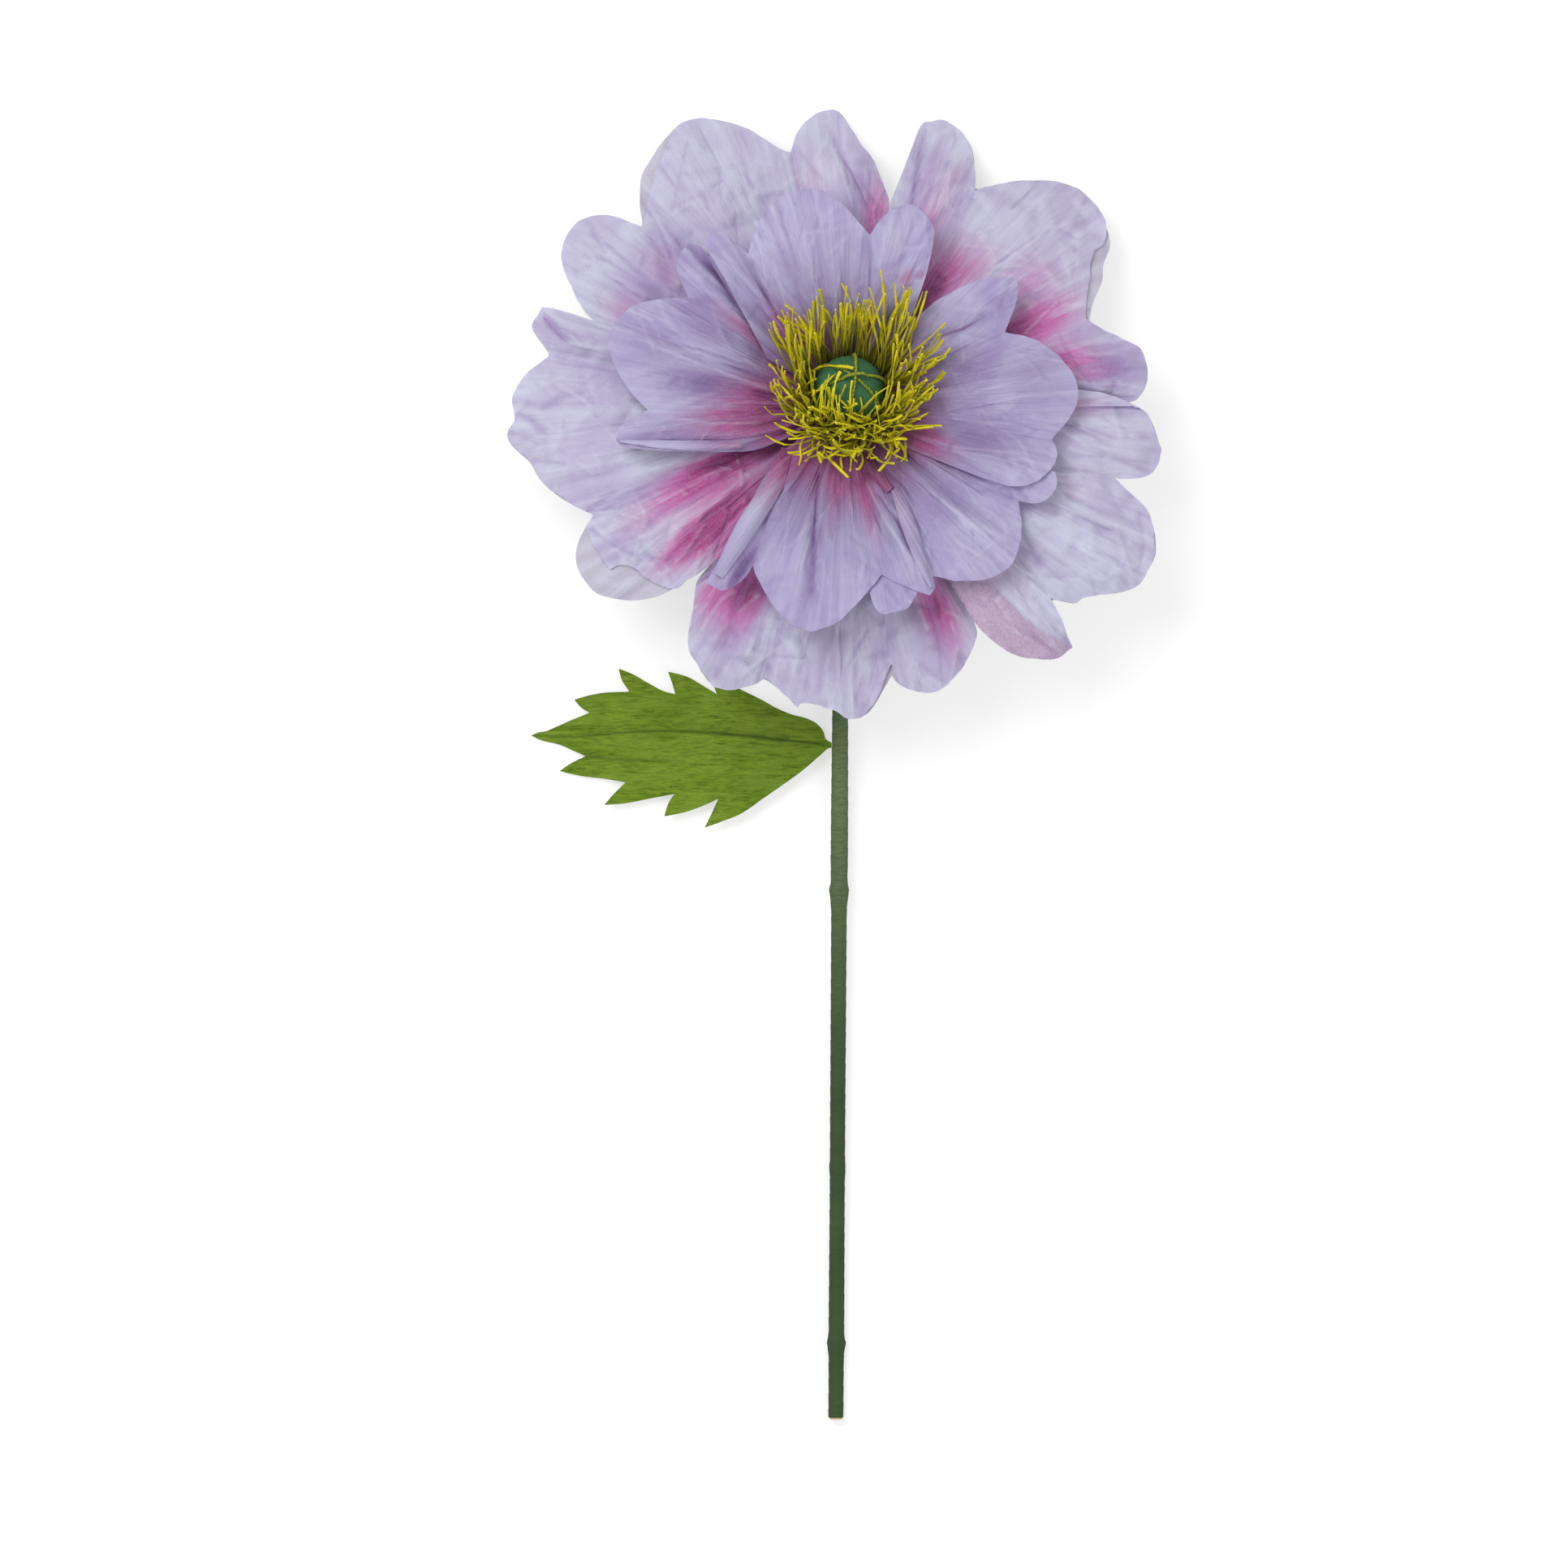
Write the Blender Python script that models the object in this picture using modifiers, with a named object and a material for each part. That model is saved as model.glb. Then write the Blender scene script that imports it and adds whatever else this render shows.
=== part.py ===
# Paper flower on a bamboo cane, lying on its back on a table as it would come to rest.
# Outlines are millimetres as seen from straight above, measured from the middle of the seed pod,
# with the stem running towards -Y and the flower facing up.
import math

import bmesh
import bpy
from mathutils import Matrix, Vector

mm = 0.001

# Paper and clearances
PAPER = 0.5 * mm
LEAF_PAPER = 0.6 * mm
CLEARANCE = 0.3 * mm

# Seed pod and the lean of the head's axis, which runs from the gather up to the pod
POD_RADIUS = 21.5 * mm
POD_ABOVE_GATHER = 39 * mm
GATHER_X = -2 * mm
GATHER_Y = -10 * mm
HEAD_LEAN = math.radians(15)
POD_LEAN = math.radians(25)

# Petal claws, bound round the neck wire
CLAW_FOOT = -16 * mm
INNER_CLAW_RADIUS = 2.2 * mm
OUTER_CLAW_RADIUS = 5.0 * mm
CLAW_SPACING = 0.9 * mm
SPREAD_START = 5 * mm
SPREAD_END = 40 * mm
CREST_START = 20 * mm
CREST_END = 90 * mm

# Height of each ring above the gather, as (distance from the axis, height)
INNER_BOWL = [(2.2, 0), (4, 6), (9, 11), (20, 17), (45, 32), (80, 45), (115, 48), (150, 45)]
OUTER_BOWL = [(5, -6), (7.5, 0), (14, 6), (30, 13), (60, 22), (100, 29), (140, 28), (175, 20), (212, 6)]

# Droop of the outer tips, at the far end and at the stem's end of the head
DROOP_REACH = 200 * mm
TOP_LEFT_DROOP = 14 * mm
TOP_RIGHT_DROOP = 30 * mm
STEM_SIDE_DROOP = 28 * mm

# Neck wire, and the tape and tie round it
WIRE_RADIUS = 1.5 * mm
WIRE_IN_CANE = 36 * mm
NECK_TAPE = 2.0 * mm
FLARE_RADIUS = 9.5 * mm
TIE_WIRE_RADIUS = 0.7 * mm
TIE_TURNS = 3
TIE_INNER_RADIUS = 10.8 * mm
TIE_HEIGHT = -11.5 * mm

# Bamboo cane with its joints, and the crepe tape wound round it
CANE_FOOT_X = -8.0 * mm
CANE_FOOT_Y = -634 * mm
CANE_TOP_X = -4.4 * mm
CANE_TOP_Y = -46 * mm
CANE_TOP_HEIGHT = 19 * mm
CANE_RADIUS = 4.0 * mm
TAPE_THICKNESS = 0.5 * mm
TAPE_END_GAP = 1.0 * mm
# Each joint of the cane: distance from the foot, swelling of the radius and half its length
CANE_JOINTS = [(47, 1.4, 7), (155, 0.45, 6), (327, 1.2, 7)]

# Cords over the pod
CORD_RADIUS = 0.9 * mm
CORD_END_ANGLE = math.radians(94)
CORD_HUMP_ANGLE = math.radians(22)
CORD_BEARINGS = [-36, 84, 12]

# Stamen fringes: band from its lower to its upper edge and then the strands' course,
# as (distance from the pod's axis, height over the pod's middle)
BAND_THICKNESS = 1.0 * mm
INNER_BAND = [(18.9, -11.6), (20.8, -7.6)]
INNER_STRAND = [(27.5, -0.5), (33, 11), (42, 23)]
OUTER_BAND = [(20.3, -12.4), (22.2, -8.4)]
OUTER_STRAND = [(31, -2), (42, 7), (54, 17)]
FRINGE_STRANDS = 20
STRAND_TIP_SHARE = 0.55

# Leaf stalk height and lie
LEAF_BASE = (-10.6, -218.0)
LEAF_REST_HEIGHT = 1.2 * mm
LEAF_EDGE_RISE = 3.0 * mm
LEAF_HALF_WIDTH = 45.0

# Facets: columns of a side lobe and of a main lobe, rows near the axis by radius and then by share
SIDE_COLUMNS = 4
MAIN_COLUMNS = 6
ROW_RADII = [9.5 * mm, 16 * mm, 32 * mm]
ROW_SHARES = [0.4, 0.75, 1.0]
TURN_STEPS = 12


# Outlines of the five outer sheets, lobe by lobe from notch to notch, clockwise from above
UPPER_LEFT_SIDE = [(-146, 36), (-162, 50), (-173, 72), (-177, 83), (-170, 101), (-156, 108), (-142, 107),
                   (-128, 101.5)]
UPPER_LEFT_MAIN = [(-128, 101.5), (-129, 122), (-121, 145), (-104, 164.5), (-88, 168.5), (-68, 164),
                   (-46, 152), (-36.5, 146.5)]
UPPER_LEFT_MAIN_FRONT = [(-128, 101.5), (-120, 119), (-112, 137), (-110, 157), (-103, 164), (-88, 168),
                         (-68, 163.5), (-46, 151.5), (-36.5, 146.5)]
TOP_SIDE = [(-36.5, 146.5), (-29, 164), (-13, 173.5), (-6, 172), (8, 152.5), (17, 138), (24, 120), (23, 106)]

TOP_RIGHT_SIDE = [(17, 103), (31, 130), (41, 155), (47, 165.5), (55, 167), (66, 164), (75, 151), (78, 138),
                  (78, 124)]
RIGHT_MAIN = [(78, 124), (100, 129.5), (124, 129.5), (143, 124), (156, 109), (161, 90), (157, 77),
              (156, 62), (148, 43)]
RIGHT_MAIN_FRONT = [(78, 124), (100, 129), (124, 129), (143, 123), (155, 109), (157, 94), (150, 82),
                    (147, 62), (142, 44)]
RIGHT_SIDE = [(148, 43), (164, 36), (177, 29), (184, 16), (183, 4), (176, -4), (165, -12)]
RIGHT_SIDE_FRONT = [(142, 44), *RIGHT_SIDE[1:]]

LOW_RIGHT_SIDE = [(138, 3), (163, -4), (180, -11), (189, -25), (192.5, -38), (185, -51), (173, -53),
                  (161.5, -52)]
LOW_RIGHT_MAIN = [(161.5, -52), (178, -68), (187, -82), (188, -96), (181, -116), (165, -124), (147, -127),
                  (138, -132), (124, -128)]
LOW_RIGHT_FOLDED = [(124, -128), (132, -144), (138, -158), (125, -164.5), (104, -163), (84, -148), (66, -122)]

BOTTOM_RIGHT_SIDE = [(62, -112), (75, -138), (77.5, -154), (68, -174), (50, -186), (38, -182), (27, -177),
                     (27.5, -174)]
BOTTOM_MAIN = [(27.5, -174), (20, -187), (4, -202), (-8, -196), (-22, -193), (-33, -195), (-43, -184),
               (-52, -176.5)]
BOTTOM_RIGHT_SIDE_FRONT = [(62, -112), (75, -138), (77, -154), (68, -173), (50, -185), (38, -181),
                           (29, -172), (26, -150)]
BOTTOM_MAIN_FRONT = [(26, -150), (21, -172), (16, -190), (4, -201), (-8, -195), (-22, -192), (-33, -194),
                     (-43, -183), (-52, -176.5)]
BOTTOM_LEFT_SIDE = [(-52, -176.5), (-62, -182), (-80, -184), (-90, -171), (-99, -155), (-96, -136),
                    (-94, -119), (-82, -102)]

LEFT_LOW_SIDE = [(-82, -103), (-104, -119), (-128, -129), (-148, -128), (-162, -118), (-168, -101),
                 (-164, -86), (-157, -76)]
LEFT_LOW_SIDE_FRONT = [(-82, -103), (-96, -114), (-110, -121), (-126, -113), (-137, -106), (-147, -109),
                       (-153, -97), (-162, -83), (-157, -76)]
LEFT_MAIN = [(-157, -76), (-180, -64), (-192, -50), (-200, -37), (-209, -30), (-207, -16), (-207, -3),
             (-199, 9), (-184, 21)]
LEFT_TOP_SIDE = [(-184, 21), (-196, 40), (-190, 51.5), (-175, 49), (-160, 44), (-144, 37)]

# Outlines of the five inner sheets
INNER_LEFT = [
    [(-62, -38), (-100, -37.5), (-130, -35.5), (-143, -31), (-138, -21), (-124, -12)],
    [(-124, -12), (-138, 5), (-147, 22), (-147, 37), (-136, 51), (-121, 56), (-110, 55.5), (-99.5, 58)],
    [(-99.5, 58), (-105, 76), (-103, 87), (-95, 90), (-90, 86)],
]
INNER_TOP = [
    [(-91, 85), (-90, 94), (-84, 98.5), (-72, 92.5), (-61.5, 84)],
    [(-61.5, 84), (-56, 103), (-41, 119), (-25, 124.5), (-7, 118), (13, 96)],
    [(13, 96), (26, 111.5), (37, 114.5), (48, 107), (52, 99), (48, 79), (42, 56)],
]
INNER_RIGHT = [
    [(41, 46), (62, 60), (85, 70), (102, 67), (103, 53), (95.5, 35.5)],
    [(95.5, 35.5), (111, 33), (127, 24), (139, 10), (141, -6), (132, -22), (124, -29.5)],
    [(124, -29.5), (128, -41), (119, -52), (101, -57.5), (90, -54)],
]
INNER_LOW_RIGHT = [
    [(124, -46), (127, -56), (121, -67), (103.5, -68.5)],
    [(103.5, -68.5), (106, -88), (100, -105), (84, -114.5), (64, -116.5), (50, -115)],
    [(50, -115), (41, -125), (34, -137), (20, -138), (12, -124)],
]
INNER_BOTTOM = [
    [(16, -38), (31, -61), (41, -79), (48, -103), (53, -121), (46, -125.5), (34, -121), (19.5, -113)],
    [(19.5, -113), (8, -129), (-8, -143), (-25, -149), (-43, -137), (-57, -116), (-60, -107)],
    [(-60, -107), (-65, -117), (-76, -123.5), (-88, -118), (-78, -100), (-64, -76), (-46, -47)],
]

# Leaf: midrib from stalk to tip, then its upper and lower toothed edges from stalk to tip
LEAF_MIDRIB = [(-10.6, -218), (-40, -215), (-84, -210), (-120, -209.5), (-150, -211.5), (-196, -212)]
LEAF_UPPER_EDGE = [(-10.6, -216.6), (-16, -208), (-27, -202), (-48, -194), (-66, -184), (-86, -170),
                   (-82, -187), (-98, -176.5), (-112, -172.5), (-107, -187), (-124, -179.5), (-142, -171),
                   (-135.5, -185), (-155, -187), (-169.5, -190), (-159, -198), (-176, -205), (-190, -210),
                   (-196, -212)]
LEAF_LOWER_EDGE = [(-10.6, -219.4), (-18, -225), (-28, -234), (-50, -249), (-75, -262), (-89, -268.5),
                   (-80.5, -251.5), (-95, -257.5), (-113, -262), (-107, -248), (-126, -251.5),
                   (-151, -255), (-137, -240.5), (-152, -239), (-178, -234), (-161.5, -225.5),
                   (-179, -217), (-190, -215), (-196, -212)]


def smooth_step(value, low, high):
    """0 below low, 1 above high, and a smooth rise between them."""
    share = min(1.0, max(0.0, (value - low) / (high - low)))
    return share * share * (3 - 2 * share)


def curve_height(table, x):
    """Height and slope at x of a smooth curve through a table of (x, height)."""
    last = len(table) - 2
    i = max(k for k in range(last + 1) if k == 0 or table[k][0] <= x)

    def slope(k):
        a = table[max(k - 1, 0)]
        b = table[min(k + 1, last + 1)]
        return (b[1] - a[1]) / (b[0] - a[0])

    (x0, h0), (x1, h1) = table[i], table[i + 1]
    width = x1 - x0
    t = min(1.0, max(0.0, (x - x0) / width))
    start = slope(i) * width
    end = slope(i + 1) * width
    a = 2 * h0 - 2 * h1 + start + end
    b = 3 * h1 - 3 * h0 - 2 * start - end
    return ((a * t + b) * t + start) * t + h0, ((3 * a * t + 2 * b) * t + start) / width


def smooth_line(points, pieces):
    """pieces + 1 points at even distances along a smooth curve through the points."""
    vectors = [Vector(p) for p in points]
    ends = [2 * vectors[0] - vectors[1], *vectors, 2 * vectors[-1] - vectors[-2]]
    dense = [vectors[0]]
    for a, b, c, d in zip(ends, ends[1:], ends[2:], ends[3:]):
        for step in range(1, 9):
            t = step / 8
            dense.append(0.5 * (2 * b + (c - a) * t + (2 * a - 5 * b + 4 * c - d) * t * t
                                + (3 * b - a - 3 * c + d) * t * t * t))
    lengths = [0.0]
    for a, b in zip(dense, dense[1:]):
        lengths.append(lengths[-1] + (b - a).length)
    line = []
    k = 0
    for step in range(pieces + 1):
        goal = lengths[-1] * step / pieces
        while k < len(dense) - 2 and lengths[k + 1] < goal:
            k += 1
        share = (goal - lengths[k]) / (lengths[k + 1] - lengths[k])
        line.append(dense[k].lerp(dense[k + 1], min(1.0, max(0.0, share))))
    return line


def head_place(x, y, height, radius, gather_height):
    """Place of a point of the head: x and y from the gather, height above it, radius from the axis."""
    follow = 1 - smooth_step(radius, SPREAD_START, SPREAD_END)
    along = height / POD_ABOVE_GATHER * follow
    place_x = GATHER_X + x - GATHER_X * along
    place_y = GATHER_Y + y - GATHER_Y * along
    return Vector((place_x, place_y, gather_height + height - math.tan(HEAD_LEAN) * (place_y - GATHER_Y)))


class Ring:
    """One ring of petals: its claw radius, its bowl and how far apart its sheets lie."""

    def __init__(self, claw_radius, bowl, level_gap, wide_level_gap, droops):
        self.claw_radius = claw_radius
        self.bowl = bowl
        self.level_gap = level_gap
        self.wide_level_gap = wide_level_gap
        self.droops = droops
        self.lobes = []

    def add_lobe(self, outline, crest):
        """Remembers a lobe, so that every sheet that passes there rises by the same crest."""
        edge = [bearing_and_radius(p)[0] for p in outline]
        span = (edge[-1] - edge[0] + math.pi) % (2 * math.pi) - math.pi
        self.lobes.append((edge[0], span, crest))

    def crest(self, bearing):
        """Height of the lobes' crest at a bearing: nothing at a notch, most in the middle of a lobe."""
        highest = 0.0
        for start, span, crest in self.lobes:
            share = ((bearing - start + math.pi) % (2 * math.pi) - math.pi) / span
            if 0 < share < 1:
                highest = max(highest, crest * mm * math.sin(math.pi * share) ** 2)
        return highest

    def place(self, bearing, radius, level, is_backing, gather_height, foot=None):
        """Place of a sheet's point at that bearing and radius, or at the height of its claw's foot."""
        height, slope = curve_height(self.bowl, radius / mm)
        if foot is not None:
            slope = 1e6
        spread = smooth_step(radius, SPREAD_START, SPREAD_END)
        gap = self.level_gap + spread * (self.wide_level_gap - self.level_gap)
        offset = level * gap + is_backing * CLAW_SPACING * (1 + 2 * spread)
        length = math.hypot(1, slope)
        out = radius + offset * slope / length
        height = height * mm - offset / length if foot is None else foot
        height += self.crest(bearing) * smooth_step(radius, CREST_START, CREST_END)
        if self.droops:
            side = math.sin(bearing)
            right = smooth_step(math.cos(bearing), -0.2, 0.4)
            sag = TOP_LEFT_DROOP + right * (TOP_RIGHT_DROOP - TOP_LEFT_DROOP) if side > 0 else STEM_SIDE_DROOP
            height -= sag * side * side * (radius / DROOP_REACH) ** 3
        return head_place(out * math.cos(bearing), out * math.sin(bearing), height, out, gather_height)


INNER_RING = Ring(INNER_CLAW_RADIUS, INNER_BOWL, CLAW_SPACING, 2.9 * mm, False)
OUTER_RING = Ring(OUTER_CLAW_RADIUS, OUTER_BOWL, 2 * CLAW_SPACING, 6.2 * mm, True)

# Each sheet: name, ring, how deep it lies in the ring, front outlines, backing outlines, crest of each lobe in mm
SHEETS = [
    ("outer_petal_upper_left", OUTER_RING, 2, [UPPER_LEFT_SIDE, UPPER_LEFT_MAIN_FRONT, TOP_SIDE],
     [UPPER_LEFT_SIDE, UPPER_LEFT_MAIN, TOP_SIDE], (4, 3, 5)),
    ("outer_petal_upper_right", OUTER_RING, 1, [TOP_RIGHT_SIDE, RIGHT_MAIN_FRONT, RIGHT_SIDE_FRONT],
     [TOP_RIGHT_SIDE, RIGHT_MAIN, RIGHT_SIDE], (5, 3, 4)),
    ("outer_petal_lower_right", OUTER_RING, 0, [LOW_RIGHT_SIDE, LOW_RIGHT_MAIN, LOW_RIGHT_FOLDED],
     [LOW_RIGHT_SIDE, LOW_RIGHT_MAIN, LOW_RIGHT_FOLDED], (3, 4, 5)),
    ("outer_petal_bottom", OUTER_RING, 2, [BOTTOM_RIGHT_SIDE_FRONT, BOTTOM_MAIN_FRONT, BOTTOM_LEFT_SIDE],
     [BOTTOM_RIGHT_SIDE, BOTTOM_MAIN, BOTTOM_LEFT_SIDE], (4, 3, 4)),
    ("outer_petal_left", OUTER_RING, 1, [LEFT_LOW_SIDE_FRONT, LEFT_MAIN, LEFT_TOP_SIDE],
     [LEFT_LOW_SIDE, LEFT_MAIN, LEFT_TOP_SIDE], (4, 3, 6)),
    ("inner_petal_left", INNER_RING, 2, INNER_LEFT, None, (4, 3, 5)),
    ("inner_petal_top", INNER_RING, 0, INNER_TOP, None, (5, 3, 4)),
    ("inner_petal_right", INNER_RING, 1, INNER_RIGHT, None, (4, 3, 3)),
    ("inner_petal_lower_right", INNER_RING, 2, INNER_LOW_RIGHT, None, (2, 4, 2)),
    ("inner_petal_bottom", INNER_RING, 1, INNER_BOTTOM, None, (5, 4, 5)),
]


def bearing_and_radius(point):
    """Bearing and distance from the gather of an outline's point, given in millimetres."""
    x = point[0] * mm - GATHER_X
    y = point[1] * mm - GATHER_Y
    return math.atan2(y, x), math.hypot(x, y)


def sheet_columns(lobes):
    """Bearing and reach of each column of a sheet, lobe after lobe."""
    columns = []
    for number, outline in enumerate(lobes):
        pieces = MAIN_COLUMNS if number == 1 else SIDE_COLUMNS
        edge = [bearing_and_radius(p) for p in smooth_line(outline, pieces)]
        columns += edge[1:] if number else edge
    return columns


def gather_height():
    """Height of the gather above the table, with the lowest outer tip resting on it."""
    lowest = 0.0
    for _, ring, level, _, backing, _ in SHEETS:
        for bearing, reach in sheet_columns(backing) if backing else []:
            lowest = min(lowest, ring.place(bearing, reach, level, True, 0.0).z)
    return -lowest + PAPER


for _, petal_ring, _, front_lobes, backing_lobes, lobe_crests in SHEETS:
    for lobe, lobe_crest in zip(backing_lobes or front_lobes, lobe_crests):
        petal_ring.add_lobe(lobe, lobe_crest)
GATHER_HEIGHT = gather_height()
POD_MIDDLE = Vector((0, 0, GATHER_HEIGHT + POD_ABOVE_GATHER + math.tan(HEAD_LEAN) * GATHER_Y))
GATHER = Vector((GATHER_X, GATHER_Y, GATHER_HEIGHT))
HEAD_AXIS = (POD_MIDDLE - GATHER).normalized()


def clear_scene():
    for thing in list(bpy.data.objects):
        bpy.data.objects.remove(thing)


def new_collection(name):
    collection = bpy.data.collections.new(name)
    bpy.context.scene.collection.children.link(collection)
    return collection


def new_material(name, colour, roughness, metallic=0.0):
    material = bpy.data.materials.new(name)
    material.use_nodes = True
    shader = material.node_tree.nodes["Principled BSDF"]
    shader.inputs["Base Color"].default_value = (*colour, 1.0)
    shader.inputs["Roughness"].default_value = roughness
    shader.inputs["Metallic"].default_value = metallic
    return material


def new_object(name, data, material, collection, parent):
    thing = bpy.data.objects.new(name, data)
    collection.objects.link(thing)
    if material:
        data.materials.append(material)
    thing.parent = parent
    return thing


def grid_mesh(name, places):
    """A mesh from rows of places, each row with as many places as the next."""
    rows = len(places)
    columns = len(places[0])
    bm = bmesh.new()
    bmesh.ops.create_grid(bm, x_segments=columns - 1, y_segments=rows - 1, size=0.5)
    for vert in bm.verts:
        column = round((vert.co.x + 0.5) * (columns - 1))
        row = round((vert.co.y + 0.5) * (rows - 1))
        vert.co = places[row][column]
    bmesh.ops.remove_doubles(bm, verts=bm.verts, dist=0.01 * mm)
    bmesh.ops.dissolve_degenerate(bm, edges=bm.edges, dist=0.01 * mm)
    bmesh.ops.recalc_face_normals(bm, faces=bm.faces)
    mesh = bpy.data.meshes.new(name)
    bm.to_mesh(mesh)
    bm.free()
    return mesh


def thicken(thing, thickness):
    """Gives an open sheet its thickness, half to each side."""
    shell = thing.modifiers.new("Paper", "SOLIDIFY")
    shell.thickness = thickness
    shell.offset = 0.0


def petal(name, ring, level, lobes, is_backing, material, collection, parent):
    """One paper sheet: a claw round the wire that opens into a bowl with three lobes."""
    columns = sheet_columns(lobes)
    places = [[ring.place(b, ring.claw_radius, level, is_backing, GATHER_HEIGHT, CLAW_FOOT) for b, _ in columns],
              [ring.place(b, ring.claw_radius, level, is_backing, GATHER_HEIGHT) for b, _ in columns]]
    for radius in ROW_RADII:
        places.append([ring.place(b, radius, level, is_backing, GATHER_HEIGHT) for b, _ in columns])
    for share in ROW_SHARES:
        places.append([ring.place(b, ROW_RADII[-1] + (reach - ROW_RADII[-1]) * share, level, is_backing,
                                  GATHER_HEIGHT) for b, reach in columns])
    sheet = new_object(name, grid_mesh(name, places), material, collection, parent)
    thicken(sheet, PAPER)
    return sheet


def turned(name, profile, steps, material, collection, parent):
    """A turned solid from a profile of (radius, height) that starts and ends on the axis or closes."""
    mesh = bpy.data.meshes.new(name)
    closed = profile[0][0] > 0
    edges = [(k, k + 1) for k in range(len(profile) - 1)]
    if closed:
        edges.append((len(profile) - 1, 0))
    mesh.from_pydata([(r, 0, h) for r, h in profile], edges, [])
    thing = new_object(name, mesh, material, collection, parent)
    screw = thing.modifiers.new("Turn", "SCREW")
    screw.steps = steps
    screw.render_steps = steps
    screw.use_merge_vertices = True
    screw.merge_threshold = 0.01 * mm
    screw.use_smooth_shade = False
    return thing


def tube(name, points, radii, sides, material, collection, parent):
    """A closed tube along points, with a radius at each."""
    curve = bpy.data.curves.new(name, "CURVE")
    curve.dimensions = "3D"
    curve.bevel_depth = 1.0
    curve.bevel_resolution = sides // 2 - 2
    curve.use_fill_caps = True
    spline = curve.splines.new("POLY")
    spline.points.add(len(points) - 1)
    for slot, place, radius in zip(spline.points, points, radii):
        slot.co = (*place, 1.0)
        slot.radius = radius
    return new_object(name, curve, material, collection, parent)


def as_mesh(thing, collection):
    """The object turned into a closed mesh, so that a Boolean can cut it."""
    graph = bpy.context.evaluated_depsgraph_get()
    mesh = bpy.data.meshes.new_from_object(thing.evaluated_get(graph))
    bm = bmesh.new()
    bm.from_mesh(mesh)
    bmesh.ops.remove_doubles(bm, verts=bm.verts, dist=0.01 * mm)
    bm.to_mesh(mesh)
    bm.free()
    name = thing.name
    parent = thing.parent
    bpy.data.objects.remove(thing)
    return new_object(name, mesh, None, collection, parent)


def cut(thing, cutter):
    hole = thing.modifiers.new("Hole", "BOOLEAN")
    hole.operation = "DIFFERENCE"
    hole.object = cutter


def hide_guide(thing):
    thing.hide_render = True
    thing.display_type = "WIRE"


def stand_on(thing, place, direction, turn=0.0):
    """Puts a turned object's foot at place, with its own +Z along direction."""
    thing.rotation_mode = "QUATERNION"
    thing.rotation_quaternion = direction.to_track_quat("Z", "Y") @ Matrix.Rotation(turn, 3, "Z").to_quaternion()
    thing.location = place


def cane_line():
    """Middle of the cane's foot on the table, and its direction."""
    foot = Vector((CANE_FOOT_X, CANE_FOOT_Y, CANE_RADIUS + CLEARANCE + TAPE_THICKNESS))
    top = Vector((CANE_TOP_X, CANE_TOP_Y, CANE_TOP_HEIGHT))
    return foot, (top - foot).normalized(), (top - foot).length


def cane_profile(extra, start, end):
    """Outer profile of the cane, from start to end along it, thicker by extra."""
    points = [(CANE_RADIUS + extra, start)]
    for distance, swell, half in CANE_JOINTS:
        for shift, share in ((-half, 0), (0, 1), (half, 0)):
            points.append((CANE_RADIUS + extra + swell * share * mm, (distance + shift) * mm))
    points.append((CANE_RADIUS + extra, end))
    return points


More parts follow.
